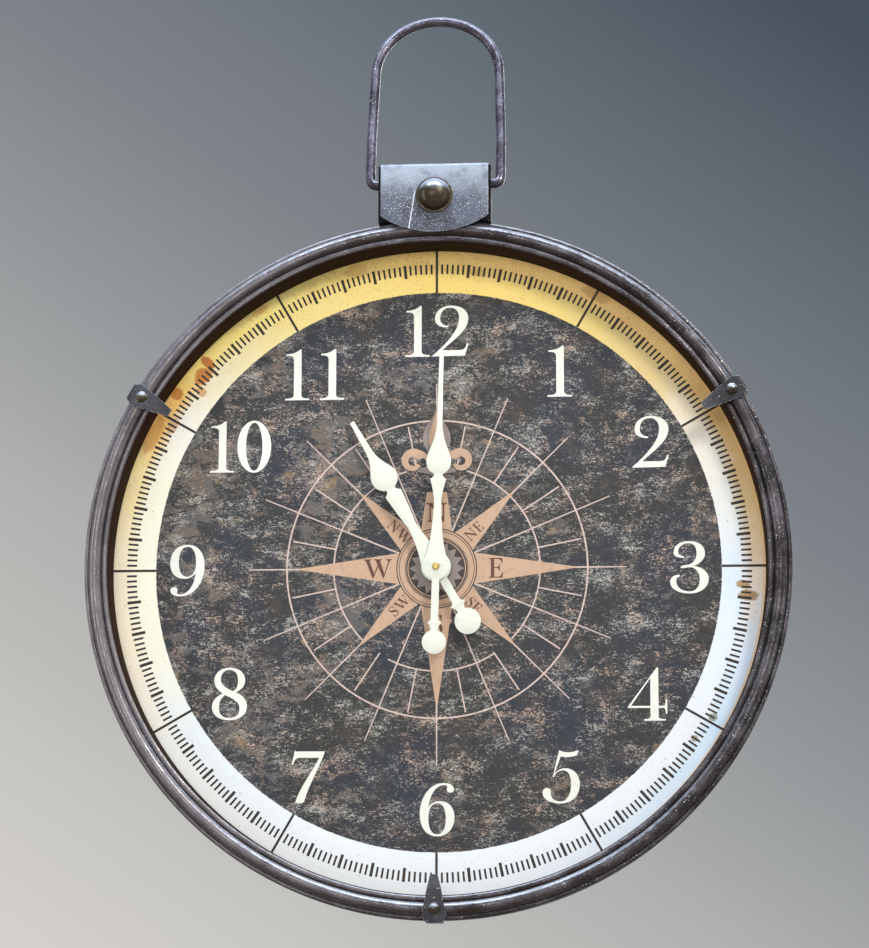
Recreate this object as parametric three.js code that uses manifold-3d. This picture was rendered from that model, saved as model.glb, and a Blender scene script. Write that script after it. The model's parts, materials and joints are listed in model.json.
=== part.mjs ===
// Pocket-watch wall clock: a drum of rolled steel with a moulded bezel, an open recessed dial,
// three retaining claws, a folded saddle with a wire bail, and a quartz movement behind the dial.
//
// Every piece is modelled in the dial's own frame, in millimetres: X to the right, Y up the dial,
// Z out of the wall, and the origin where the hands' axis meets the front of the dial.
// The last group turns that into the part's frame: Z up, the wall at Y = 0, and the origin on the
// hanger plate's flat rear face, on the centreline.
import * as THREE from 'three';
import { mergeVertices } from 'three/addons/utils/BufferGeometryUtils.js';
import Module from 'manifold-3d';

const wasm = await Module();
wasm.setup();

// ---- Driving dimensions ----
const CASE_RADIUS = 300; // over the bezel's rolled outer lip
const RECESS = 34; // from the dial out to the crest of the bezel's main bead
const BACK = 24; // from the dial back to the wall
const SHEET = 1.2; // rolled steel of the bezel and the case band
const PLATE = 1.6; // folded steel of the saddle and the claws
const GAP = 0.3; // left between pieces that touch
const ROUND = 48; // sides of the large rings, with a corner at the bottom of each
const RUNNING = 0.06; // clearance round a turning shaft, outside its corners

const FULL_TURN = 2 * Math.PI;
const degrees = THREE.MathUtils.degToRad;

// ---- Materials ----
const paint = (color, roughness, metalness) =>
  new THREE.MeshStandardMaterial({ color, roughness, metalness });
const GUNMETAL = paint(0x3f3d42, 0.45, 0.7);
const BAND_BLACK = paint(0x2b2a2c, 0.6, 0.5);
const SADDLE_STEEL = paint(0x8d94a4, 0.42, 0.8);
const RIVET_BRONZE = paint(0x3c3a34, 0.38, 0.75);
const BAIL_IRON = paint(0x55525e, 0.45, 0.7);
const PRINT = paint(0x3e3f42, 0.7, 0.0);
const BOARD = paint(0x8a6a4a, 0.85, 0.0);
const CREAM = paint(0xf4f1e2, 0.45, 0.0);
const ZINC = paint(0xa9adb0, 0.35, 0.9);
const BRASS = paint(0xb79a55, 0.3, 0.9);
const RUBBER = paint(0x1c1c1c, 0.9, 0.0);
const BLACK_PLASTIC = paint(0x1f2022, 0.55, 0.0);
const WHITE_PLASTIC = paint(0xe6e4da, 0.5, 0.0);
const CELL_GREY = paint(0x6f7c86, 0.4, 0.3);
const BOARD_GREEN = paint(0x2d5f45, 0.6, 0.0);
const COPPER = paint(0xb06a3c, 0.35, 0.8);
const MAGNET = paint(0x303236, 0.5, 0.4);

// ---- Solids ----
// A closed surface, with the corners that its faces share made one.
function solid(geometry) {
  const bare = geometry.clone();
  bare.deleteAttribute('normal');
  bare.deleteAttribute('uv');
  const welded = mergeVertices(bare, 1e-3);
  return new wasm.Manifold(
    new wasm.Mesh({
      numProp: 3,
      vertProperties: welded.attributes.position.array,
      triVerts: new Uint32Array(welded.index.array),
    }),
  );
}

function geometryOf(made) {
  const mesh = made.getMesh();
  const geometry = new THREE.BufferGeometry();
  geometry.setAttribute('position', new THREE.BufferAttribute(mesh.vertProperties, 3));
  geometry.setIndex(new THREE.BufferAttribute(mesh.triVerts, 1));
  geometry.computeVertexNormals();
  return geometry;
}

// A profile of [radius, z] points turned round the Z axis, outer side going up.
function turned(profile, sides) {
  const points = profile.map(([radius, z]) => new THREE.Vector2(radius, z));
  return solid(new THREE.LatheGeometry(points, sides).rotateX(Math.PI / 2));
}

// A round bar along Z, given by its ends.
function bar(radius, z0, z1, sides = 24) {
  return turned([[0, z0], [radius, z0], [radius, z1], [0, z1]], sides);
}

// A tube along Z, given by its ends.
function tube(outer, inner, z0, z1, sides = 16) {
  return turned([[inner, z0], [outer, z0], [outer, z1], [inner, z1], [inner, z0]], sides);
}

// The radius whose flat-sided circle stays clear of a shaft of this radius at every angle.
function boreFor(shaft, sides = 24) {
  return (shaft + RUNNING) / Math.cos(Math.PI / sides);
}

// A flat outline, pushed out from z0 to z1.
function plate(shape, z0, z1, curveSegments = 12) {
  const settings = { depth: z1 - z0, bevelEnabled: false, curveSegments };
  return solid(new THREE.ExtrudeGeometry(shape, settings).translate(0, 0, z0));
}

function box(x0, x1, y0, y1, z0, z1) {
  const geometry = new THREE.BoxGeometry(x1 - x0, y1 - y0, z1 - z0);
  return solid(geometry.translate((x0 + x1) / 2, (y0 + y1) / 2, (z0 + z1) / 2));
}

// Points of an arc round (cx, cy), both ends included.
function arc(cx, cy, radius, fromDegrees, toDegrees, steps) {
  const points = [];
  for (let i = 0; i <= steps; i += 1) {
    const angle = degrees(fromDegrees + ((toDegrees - fromDegrees) * i) / steps);
    points.push([cx + radius * Math.cos(angle), cy + radius * Math.sin(angle)]);
  }
  return points;
}

const shapeOf = (points) => new THREE.Shape(points.map(([x, y]) => new THREE.Vector2(x, y)));

const clock = new THREE.Group();

function add(name, made, material, place = {}) {
  const mesh = new THREE.Mesh(geometryOf(made), material);
  mesh.name = name;
  mesh.position.set(...(place.at ?? [0, 0, 0]));
  mesh.rotation.set(place.tilt ?? 0, 0, -degrees(place.clockwise ?? 0));
  clock.add(mesh);
  return mesh;
}

// ---- Bezel ring: rolled lip, main bead, inner bead and the wall down to the dial ----
const LIP = { radius: 2.1, r: CASE_RADIUS - 2.1, z: RECESS - 9.8 };
const BEAD = { radius: 5.4, r: CASE_RADIUS - 9.6, z: RECESS - 5.4 };
const INNER_BEAD = { radius: 3, r: CASE_RADIUS - 18, z: RECESS - 6 };
const WALL_RADIUS = INNER_BEAD.r - INNER_BEAD.radius;
const SKIRT_Z = 16;
const VALLEY_Z = LIP.z - SHEET;
const INNER_VALLEY_Z = 26;

function rollOver(roll, thickness, steps) {
  return arc(roll.r, roll.z, roll.radius - thickness, 0, 180, steps);
}

function bezelRing() {
  const front = [
    [CASE_RADIUS, SKIRT_Z],
    ...rollOver(LIP, 0, 2),
    ...rollOver(BEAD, 0, 4),
    ...rollOver(INNER_BEAD, 0, 3),
    [WALL_RADIUS, GAP],
  ];
  const back = [
    [WALL_RADIUS + SHEET, GAP],
    [WALL_RADIUS + SHEET, INNER_VALLEY_Z],
    [BEAD.r - BEAD.radius + SHEET, INNER_VALLEY_Z],
    ...rollOver(BEAD, SHEET, 2).reverse(),
    [BEAD.r + BEAD.radius - SHEET, VALLEY_Z],
    [CASE_RADIUS - SHEET, VALLEY_Z],
    [CASE_RADIUS - SHEET, SKIRT_Z],
    [CASE_RADIUS, SKIRT_Z],
  ];
  let ring = turned([...front, ...back], ROUND);
  for (const angle of CLAW_ANGLES) {
    const hole = bar(CLAW_RIVET.shank + GAP, BEAD.z, RECESS + 1, 12);
    ring = ring.subtract(hole.translate([0, BEAD.r, 0]).rotate([0, 0, -angle]));
  }
  return ring;
}

// ---- Claws and their domed rivets, at 2, 6 and 10 o'clock ----
const CLAW_ANGLES = [60, 180, 300];
const CLAW_NAMES = ['right', 'bottom', 'left'];
const CLAW_Z = RECESS + GAP;
const CLAW = { tip: 262, tipHalf: 4, root: 296, rootHalf: 10, legZ: 14 };
const CLAW_RIVET = { head: 4.8, shank: 2, height: 3.4, nub: 1.1 };

function claw() {
  const outside = CASE_RADIUS + GAP + PLATE;
  const corner = 3;
  const outline = shapeOf([
    [-CLAW.tipHalf, CLAW.tip + 1],
    [-CLAW.tipHalf + 1, CLAW.tip],
    [CLAW.tipHalf - 1, CLAW.tip],
    [CLAW.tipHalf, CLAW.tip + 1],
    [CLAW.rootHalf, CLAW.root],
    [CLAW.rootHalf, outside - corner],
    [CLAW.rootHalf - corner, outside],
    [corner - CLAW.rootHalf, outside],
    [-CLAW.rootHalf, outside - corner],
    [-CLAW.rootHalf, CLAW.root],
  ]);
  const top = plate(outline, CLAW_Z, CLAW_Z + PLATE);
  const half = CLAW.rootHalf - corner;
  const leg = box(-half, half, CASE_RADIUS + GAP, outside, CLAW.legZ, CLAW_Z + PLATE / 2);
  const hole = bar(CLAW_RIVET.shank + GAP, CLAW_Z - 1, CLAW_Z + PLATE + 1, 12);
  return top.add(leg).subtract(hole.translate([0, BEAD.r, 0]));
}

function clawRivet() {
  const seat = CLAW_Z + PLATE + GAP;
  const { head, shank, height, nub } = CLAW_RIVET;
  const dome = arc(0, 0, 1, 0, 66, 3).map(([x, y]) => [head * x, seat + height * y]);
  const cap = [[nub, seat + height], [nub * 0.6, seat + height + 0.7], [0, seat + height + 0.9]];
  return turned([[0, BEAD.z + 1], [shank, BEAD.z + 1], [shank, seat], ...dome, ...cap], 12);
}

// ---- Case band: the drum behind the bezel, with a flange turned in at the wall ----
const BAND_OUTER = CASE_RADIUS - SHEET - GAP;
const BAND_INNER = BAND_OUTER - SHEET;
const BAND_FRONT = 21;
const FLANGE = { inner: 279, back: -(BACK - 2.2), front: -(BACK - 2.2) + SHEET };
const FLANGE_MIDDLE = (FLANGE.inner + BAND_INNER) / 2;

function caseBand() {
  let band = turned(
    [
      [FLANGE.inner, FLANGE.back],
      [BAND_OUTER, FLANGE.back],
      [BAND_OUTER, BAND_FRONT],
      [BAND_INNER, BAND_FRONT],
      [BAND_INNER, FLANGE.front],
      [FLANGE.inner, FLANGE.front],
      [FLANGE.inner, FLANGE.back],
    ],
    ROUND,
  );
  for (const side of [-1, 1]) {
    const rivetHole = bar(HANGER.rivet + GAP, FLANGE.back - 1, FLANGE.front + 1, 12);
    band = band.subtract(rivetHole.translate([side * HANGER.rivetX, HANGER.rivetY, 0]));
    band = band.subtract(neckScrewHole(side));
  }
  return band;
}

// ---- Keyhole hanger plate, its rivets and the bumpers that rest on the wall ----
const HANGER = {
  half: 36, bottom: 249, top: 291, rivet: 2.2, rivetX: 26, rivetY: 284,
  keyY: 258, keyRadius: 6, slotRadius: 3, slotTop: 275,
};
const ORIGIN_Y = 281; // the part's origin, on the plate above the keyhole
const BUMPER_RADIUS = 7;

function hangerPlate() {
  const { half, bottom, top, keyY, keyRadius, slotRadius, slotTop } = HANGER;
  const outline = new THREE.Shape();
  const corner = 8;
  outline.moveTo(-half + corner, bottom);
  outline.lineTo(half - corner, bottom);
  outline.lineTo(half, bottom + corner);
  outline.lineTo(half, top - corner);
  outline.lineTo(half - corner, top);
  outline.lineTo(corner - half, top);
  outline.lineTo(-half, top - corner);
  outline.lineTo(-half, bottom + corner);
  outline.closePath();
  const opening = Math.asin(slotRadius / keyRadius);
  const quarter = Math.PI / 2;
  const keyhole = new THREE.Path();
  keyhole.absarc(0, keyY, keyRadius, quarter + opening, quarter - opening + FULL_TURN, false);
  keyhole.absarc(0, slotTop - slotRadius, slotRadius, 0, Math.PI, false);
  keyhole.closePath();
  outline.holes.push(keyhole);
  for (const side of [-1, 1]) {
    const hole = new THREE.Path();
    hole.absarc(side * HANGER.rivetX, HANGER.rivetY, HANGER.rivet + GAP, 0, FULL_TURN, false);
    outline.holes.push(hole);
  }
  return plate(outline, -BACK, FLANGE.back - GAP, 6);
}

function hangerRivet() {
  const seat = FLANGE.front + GAP;
  const dome = arc(0, 0, 1, 0, 90, 3).map(([x, y]) => [4 * x, seat + 2 * y]);
  return turned([[0, 0.1 - BACK], [HANGER.rivet, 0.1 - BACK], [HANGER.rivet, seat], ...dome], 12);
}

// ---- Dial: a printed sheet on a fibreboard disc, clamped against the bezel from behind ----
const DIAL_RADIUS = 287;
const BOARD_RADIUS = 292;
const FACE_SHEET = 0.4;
const BOARD_FRONT = -(FACE_SHEET + GAP);
const BOARD_BACK = BOARD_FRONT - 4;
const BUSHING_RADIUS = 3.9;
const CLIP_ANGLES = [45, 135, 225, 315];
const CLIP_SCREW_R = 280;
const SCREW_RADIUS = 1.5;

function dialFace() {
  const centre = bar(BUSHING_RADIUS + GAP, -FACE_SHEET - 1, 1);
  return bar(DIAL_RADIUS, -FACE_SHEET, 0, ROUND).subtract(centre);
}

function dialBoard() {
  const centre = bar(BUSHING_RADIUS + GAP, BOARD_BACK - 1, BOARD_FRONT + 1);
  let board = bar(BOARD_RADIUS, BOARD_BACK, BOARD_FRONT, ROUND).subtract(centre);
  for (const angle of CLIP_ANGLES) {
    const hole = bar(SCREW_RADIUS + GAP, BOARD_BACK - 1, BOARD_FRONT + 1, 12);
    board = board.subtract(hole.translate([0, CLIP_SCREW_R, 0]).rotate([0, 0, -angle]));
  }
  return board;
}

// An angle clip: one leg against the band's inside, the other behind the board.
const CLIP = { half: 12, inner: 272, outer: 296, thick: 1.5, back: -19.8 };

function dialClip() {
  const front = BOARD_BACK - GAP;
  const shelf = box(-CLIP.half, CLIP.half, CLIP.inner, CLIP.outer, front - CLIP.thick, front);
  const foot = CLIP.outer - CLIP.thick;
  const leg = box(-CLIP.half, CLIP.half, foot, CLIP.outer, CLIP.back, front - CLIP.thick / 2);
  const hole = bar(SCREW_RADIUS + GAP, front - CLIP.thick - 1, front + 1, 12);
  return shelf.add(leg).subtract(hole.translate([0, CLIP_SCREW_R, 0]));
}

function clipScrew() {
  const seat = BOARD_BACK - CLIP.thick - 2 * GAP;
  const head = [[0, seat - 2], [2.4, seat - 2], [3.3, seat - 1.2], [3.3, seat]];
  const point = BOARD_FRONT - 0.4;
  return turned([...head, [SCREW_RADIUS, seat], [SCREW_RADIUS, point - 1.2], [0, point]], 14);
}

// ---- Neck: a steel box standing on the case, under the folded saddle ----
const SADDLE = { half: 46.4, top: 348, cornerY: 301.5, middleY: 287, front: RECESS + 1 };
const NECK = { half: 48.4, wall: 2.4, top: SADDLE.top - PLATE - GAP, back: 8.3, seat: 300.4 };
const NECK_FRONT = SADDLE.front - GAP;
const BOLT_Y = 319.5;
const BOLT_RADIUS = 4;
const NECK_SCREW = { x: 28, z: 12, radius: 2.5, head: 4.6, tip: 307 };

function neckScrewHole(side) {
  const hole = bar(NECK_SCREW.radius + GAP, CLIP.inner, NECK_SCREW.tip + 3, 12);
  return hole.rotate([-90, 0, 0]).translate([side * NECK_SCREW.x, 0, NECK_SCREW.z]);
}

function neckBox() {
  const { half, wall, top, back, seat } = NECK;
  const below = 260;
  const drum = bar(seat, back - 1, NECK_FRONT + 1, ROUND);
  const floor = bar(seat + 1.5 * wall, back - 1, NECK_FRONT + 1, ROUND);
  const inside = box(wall - half, half - wall, below, top + 1, back + wall, NECK_FRONT - wall);
  const bolt = bar(BOLT_RADIUS + GAP, back - 1, NECK_FRONT + 1).translate([0, BOLT_Y, 0]);
  const pivot = bar(boreFor(BAIL.wire), -half - 1, half + 1).rotate([0, 90, 0]);
  let neck = box(-half, half, below, top, back, NECK_FRONT);
  neck = neck.subtract(drum).subtract(inside.subtract(floor)).subtract(bolt);
  neck = neck.subtract(pivot.translate([0, BAIL.pivotY, BAIL.pivotZ]));
  return neck.subtract(neckScrewHole(-1)).subtract(neckScrewHole(1));
}

// The saddle is one strip folded over the neck, its flaps ending in a curved lower edge.
function saddle() {
  const back = NECK.back - GAP - PLATE;
  const front = SADDLE.front + PLATE;
  const bend = 3;
  const low = SADDLE.middleY - 5;
  const { half, top, cornerY, middleY } = SADDLE;
  const section = shapeOf([
    [-front, low],
    [-SADDLE.front, low],
    [-SADDLE.front, top - PLATE],
    [-(back + PLATE), top - PLATE],
    [-(back + PLATE), low],
    [-back, low],
    ...arc(-back - bend, top - bend, bend, 0, 90, 3),
    ...arc(-front + bend, top - bend, bend, 90, 180, 3),
  ]);
  const folded = plate(section, -half, half).rotate([0, 90, 0]);
  const drop = cornerY - middleY;
  const sweep = (half * half + drop * drop) / (2 * drop);
  const spread = (Math.asin(half / sweep) * 180) / Math.PI;
  const edge = arc(0, middleY + sweep, sweep, 270 - spread, 270 + spread, 12);
  const cutter = plate(shapeOf([...edge, [half, top + 1], [-half, top + 1]]), back - 1, front + 1);
  const ringRoom = bar(NECK.seat + 2, back - 1, SADDLE.front - 1, ROUND);
  const bolt = bar(BOLT_RADIUS + GAP, back - 1, front + 1).translate([0, BOLT_Y, 0]);
  return folded.intersect(cutter).subtract(ringRoom).subtract(bolt);
}

function neckScrew() {
  const seat = 290.5;
  const { radius, head, tip } = NECK_SCREW;
  const profile = [
    [0, seat - 3.4], [head * 0.7, seat - 3.2], [head, seat - 1.8], [head, seat],
    [radius, seat], [radius, tip - 2], [radius * 0.6, tip], [0, tip],
  ];
  return turned(profile, 14).rotate([-90, 0, 0]).translate([0, 0, NECK_SCREW.z]);
}

// ---- Domed bolt through the saddle, with its washer and hexagonal nut ----
const DOME = { radius: 14, height: 11, washer: 15.9, washerThick: 1.2 };
const WASHER_Z = SADDLE.front + PLATE + GAP;

function domeBolt() {
  const seat = WASHER_Z + DOME.washerThick + GAP;
  const shape = arc(0, 0, 1, 0, 90, 6).map(([x, y]) => [DOME.radius * x, seat + DOME.height * y]);
  const end = NECK.back - 10;
  return turned([[0, end], [BOLT_RADIUS, end], [BOLT_RADIUS, seat], ...shape], 20);
}

function domeWasher() {
  return tube(DOME.washer, BOLT_RADIUS + GAP, WASHER_Z, WASHER_Z + DOME.washerThick);
}

function hexNut(acrossCorners, bore, z0, z1) {
  return bar(acrossCorners, z0, z1, 6).subtract(bar(bore, z0 - 1, z1 + 1, 24));
}

// ---- Bail: one bent wire, its feet turned into the neck's sides, leaning back to the wall ----
const BAIL = { wire: 4.25, pivotY: 333, pivotZ: 21.5, archRadius: 54.3, reach: 166.6 };
const BAIL_LEAN = Math.asin((BAIL.pivotZ + BACK - BAIL.wire - GAP) / BAIL.reach);

function bail() {
  const archY = BAIL.reach - BAIL.archRadius;
  const legX = 56.4;
  const round = BAIL.archRadius * 0.5523;
  const point = (x, y) => new THREE.Vector3(x, y, 0);
  const line = (from, to) => new THREE.LineCurve3(point(...from), point(...to));
  const curve = (from, pull, to) =>
    new THREE.QuadraticBezierCurve3(point(...from), point(...pull), point(...to));
  const quarter = (...points) => new THREE.CubicBezierCurve3(...points.map((p) => point(...p)));
  // one side, from the foot's end to the top of the arch; s is 1 on the right and -1 on the left
  const half = (s) => [
    [line, [s * 38, 0], [s * 50.5, 0]],
    [curve, [s * 50.5, 0], [s * 52.2, 0], [s * 53.6, 1.8]],
    [curve, [s * 53.6, 1.8], [s * legX, 5.2], [s * legX, 9]],
    [line, [s * legX, 9], [s * legX, 45]],
    [line, [s * legX, 45], [s * BAIL.archRadius, archY]],
    [
      quarter,
      [s * BAIL.archRadius, archY],
      [s * BAIL.archRadius, archY + round],
      [s * round, BAIL.reach],
      [0, BAIL.reach],
    ],
  ];
  const path = new THREE.CurvePath();
  for (const [make, ...points] of half(1)) path.add(make(...points));
  for (const [make, ...points] of half(-1).reverse()) path.add(make(...points.reverse()));
  const section = new THREE.Shape();
  section.absarc(0, 0, BAIL.wire, 0, FULL_TURN, false);
  const settings = { steps: 80, curveSegments: 4, extrudePath: path };
  return solid(new THREE.ExtrudeGeometry(section, settings));
}

// ---- Hands: flat spade hands cut from sheet, with a counterweight disc on the tail ----
const HOUR_HAND = {
  z: 8, tip: 146, tipHalf: 1.9, shaft: 2.9, flare: 116, bulge: 90, bulgeHalf: 11.5, neck: 78.5,
  neckHalf: 4, collar: 74, collarHalf: 7.6, waist: 42, waistHalf: 4, hub: 12.8, stem: 3.6,
  cusp: 37, cuspHalf: 7.6, disc: 54, discRadius: 11.2,
};
const MINUTE_HAND = {
  z: 11, tip: 183, tipHalf: 1.8, shaft: 2.4, flare: 122, bulge: 91, bulgeHalf: 10.6, neck: 80,
  neckHalf: 3.7, collar: 75.5, collarHalf: 6.9, waist: 58, waistHalf: 3, hub: 11.7, stem: 3.2,
  cusp: 48.5, cuspHalf: 6.4, disc: 65, discRadius: 10.2,
};
const HAND_SHEET = 0.8;
const MINUTE_ANGLE = 1.5;
const HOUR_ANGLE = -30 + MINUTE_ANGLE / 12;

// The right-hand edge from the tip down to the tail disc's lowest point; the left is its mirror.
function handShape(hand, bore) {
  const edge = new THREE.Shape();
  const tailJoin = Math.sqrt(hand.discRadius ** 2 - hand.stem ** 2);
  const flareIn = hand.flare - 14;
  const bulgeOut = hand.bulge + 7;
  const shoulder = hand.bulge - 8;
  edge.moveTo(hand.tipHalf, hand.tip);
  edge.lineTo(hand.shaft, hand.flare);
  edge.bezierCurveTo(hand.shaft + 0.7, flareIn, hand.bulgeHalf, bulgeOut, hand.bulgeHalf, hand.bulge);
  edge.quadraticCurveTo(hand.bulgeHalf, shoulder, hand.neckHalf, hand.neck);
  edge.quadraticCurveTo(hand.neckHalf, hand.collar + 1.5, hand.collarHalf, hand.collar);
  edge.quadraticCurveTo(hand.waistHalf + 2, hand.waist + 12, hand.waistHalf, hand.waist);
  edge.quadraticCurveTo(hand.waistHalf + 0.8, hand.hub + 11, hand.hub * 0.8, hand.hub * 0.6);
  edge.absarc(0, 0, hand.hub, Math.atan2(0.6, 0.8), -Math.acos(hand.stem / hand.hub), true);
  edge.lineTo(hand.stem, 3.5 - hand.cusp);
  edge.quadraticCurveTo(hand.stem + 0.6, 0.8 - hand.cusp, hand.cuspHalf, -hand.cusp);
  edge.quadraticCurveTo(hand.stem + 0.4, -hand.cusp - 1, hand.stem, tailJoin - hand.disc);
  const start = Math.atan2(tailJoin, hand.stem);
  edge.absarc(0, -hand.disc, hand.discRadius, start, -Math.PI / 2, true);
  const right = edge.getPoints(5).map((p) => [p.x, p.y]);
  const left = right.slice(0, -1).reverse().map(([x, y]) => [-x, y]);
  const outline = shapeOf([...right, ...left]);
  const hole = new THREE.Path();
  hole.absarc(0, 0, bore, 0, FULL_TURN, false);
  outline.holes.push(hole);
  return outline;
}

const hand = (size, bore) => plate(handShape(size, bore), size.z, size.z + HAND_SHEET);

// ---- Quartz movement: plastic case behind the dial board ----
// Depths count back from the dial's front, so Z = -depth.
const MOVEMENT = { half: 28, front: 6, back: 20, wall: 1.6, floor: 1.5 };
const CELL = { y: -19.1, depth: 15, radius: 7.1, left: -23.9, right: 24.9 };
const PARTITION = { y: -10.8, thick: 1 };
const HOUR_PIPE = { outer: 2.5, z: HOUR_HAND.z + HAND_SHEET + 0.4 };
const MINUTE_ARBOR = { radius: 1.6, back: 12.2, z: MINUTE_HAND.z + HAND_SHEET + 1.6 };

function movementHousing() {
  const { half, front, back, wall, floor } = MOVEMENT;
  const inner = half - wall;
  const hollow = (y0, y1) => box(-inner, inner, y0, y1, -back - 1, -front - floor);
  const tray = box(-half, half, -half, half, -back, -front)
    .subtract(hollow(PARTITION.y, inner))
    .subtract(hollow(-inner, PARTITION.y - PARTITION.thick));
  const bushing = bar(BUSHING_RADIUS, -front - floor / 2, 5);
  const bore = bar(boreFor(HOUR_PIPE.outer), -back, 6);
  return tray.add(bushing).subtract(bore);
}

function movementCover() {
  const { half, back } = MOVEMENT;
  const lid = box(-half, half, PARTITION.y - PARTITION.thick, half, -back - GAP - 1.2, -back - GAP);
  const knobHole = bar(KNOB.stem + GAP, -BACK, -back).translate([MOTION_X, 0, 0]);
  return lid.subtract(knobHole);
}

function dryCell() {
  const { left, right, radius } = CELL;
  const rim = 1;
  const can = [
    [0, left - 1.2], [2.6, left - 1.2], [2.6, left], [radius - rim, left],
    [radius, left + rim], [radius, right - rim], [radius - rim, right], [0, right],
  ];
  return turned(can, 20).rotate([0, 90, 0]).translate([0, CELL.y, -CELL.depth]);
}

function contactPlate(x) {
  const width = 0.6;
  return box(x, x + width, CELL.y - 5, CELL.y + 5, -CELL.depth - 4, -CELL.depth + 5);
}

// The stator is a U with the rotor turning in its base and the coil lying across its arms.
const ROTOR_MAGNET = { radius: 3, front: 11.4, back: 14.4 };
const STATOR = { left: -23.6, right: -7.4, bottom: 8.6, base: 19, top: 25, arm: 3.2, depth: 12.8 };

function stator(rotor) {
  const { left, right, bottom, base, top, arm, depth } = STATOR;
  const outline = shapeOf([
    [left, bottom], [right, bottom], [right, top], [right - arm, top],
    [right - arm, base], [left + arm, base], [left + arm, top], [left, top],
  ]);
  const hole = bar(ROTOR_MAGNET.radius + 0.5, -depth - 1, -depth + 2);
  return plate(outline, -depth, 0.8 - depth).subtract(hole.translate([rotor.x, rotor.y, 0]));
}

function coil() {
  const coreY = 22;
  const coreFront = STATOR.depth - 1.1;
  const { left, right, arm } = STATOR;
  const core = box(left, right, coreY - 1.5, coreY + 1.5, 0.8 - STATOR.depth + GAP, -coreFront + 1);
  const length = right - left - 2 * arm - 1;
  const winding = bar(3.1, -length / 2, length / 2, 16).rotate([0, 90, 0]);
  return core.add(winding.translate([(left + right) / 2, coreY, -coreFront + 0.6]));
}

// ---- Wheels ----
// Pointed teeth, thinner than half a pitch so that meshed wheels run free.
function toothedWheel(teeth, module, phase, z0, z1) {
  const pitch = FULL_TURN / teeth;
  const tip = module * (teeth / 2 + 0.75);
  const root = module * (teeth / 2 - 1.05);
  const points = [];
  for (let i = 0; i < teeth; i += 1) {
    const middle = phase + i * pitch;
    for (const [radius, offset] of [[root, -0.27], [tip, 0], [root, 0.27]]) {
      const angle = middle + offset * pitch;
      points.push([radius * Math.cos(angle), radius * Math.sin(angle)]);
    }
  }
  return plate(shapeOf(points), z0, z1);
}

const TRAIN_MODULE = 0.4;
const CANNON = { teeth: 8, module: 0.75 };
const MOTION = { wheel: 24, pinion: 8 };
const HOUR_WHEEL = { teeth: 32, module: 0.6 };
const MOTION_X = (-CANNON.module * (CANNON.teeth + MOTION.wheel)) / 2;
const KNOB = { radius: 7, stem: 1.6, front: MOVEMENT.back + 1.9, back: MOVEMENT.back + 3.4 };
const ARBOR = { radius: 0.5, front: 7.7, back: 17.2 };

// A driven wheel's phase, so that a gap of its own faces the driver's tooth on the line of centres.
function meshPhase(driver, driverTeeth, teeth, direction) {
  const away = direction + Math.PI;
  return away + Math.PI / teeth - ((driver.phase - direction) * driverTeeth) / teeth;
}

// The going train, from the hands' axis out to the rotor: each stage has the pinion that drives
// the wheel before it, and a direction from that wheel's centre, in degrees.
const TRAIN = [
  { name: 'centre_wheel', wheel: 50, wheelDepth: 11.8 },
  { name: 'third_wheel', wheel: 48, pinion: 10, direction: 30, wheelDepth: 13.4 },
  { name: 'second_wheel', wheel: 48, pinion: 6, direction: 120, wheelDepth: 15 },
  { name: 'first_wheel', wheel: 45, pinion: 8, direction: 190, wheelDepth: 16.6 },
  { name: 'rotor', pinion: 6, direction: 180 },
];
const WHEEL_THICK = 0.8;

function placeTrain() {
  let previous = Object.assign(TRAIN[0], { x: 0, y: 0, phase: 0 });
  for (const stage of TRAIN.slice(1)) {
    const direction = degrees(stage.direction);
    const distance = (TRAIN_MODULE * (previous.wheel + stage.pinion)) / 2;
    stage.x = previous.x + distance * Math.cos(direction);
    stage.y = previous.y + distance * Math.sin(direction);
    stage.phase = meshPhase(previous, previous.wheel, stage.pinion, direction);
    previous = stage;
  }
}

function addTrain() {
  placeTrain();
  let driven = null;
  for (const stage of TRAIN) {
    let made = null;
    if (stage.wheel) {
      const back = -stage.wheelDepth;
      made = toothedWheel(stage.wheel, TRAIN_MODULE, stage.phase, back, back + WHEEL_THICK);
    } else {
      made = bar(ROTOR_MAGNET.radius, -ROTOR_MAGNET.back, -ROTOR_MAGNET.front, 20);
    }
    if (driven) {
      const middle = driven.wheelDepth - WHEEL_THICK / 2;
      const [z0, z1] = [-middle - 0.6, -middle + 0.6];
      made = made.add(toothedWheel(stage.pinion, TRAIN_MODULE, stage.phase, z0, z1));
      made = made.add(bar(ARBOR.radius, -ARBOR.back, -ARBOR.front, 10));
    } else {
      made = made.subtract(bar(boreFor(MINUTE_ARBOR.radius), -BACK, 0));
    }
    const material = stage.wheel ? WHITE_PLASTIC : MAGNET;
    add(stage.name, made, material, { at: [stage.x, stage.y, 0] });
    driven = stage;
  }
}

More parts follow.
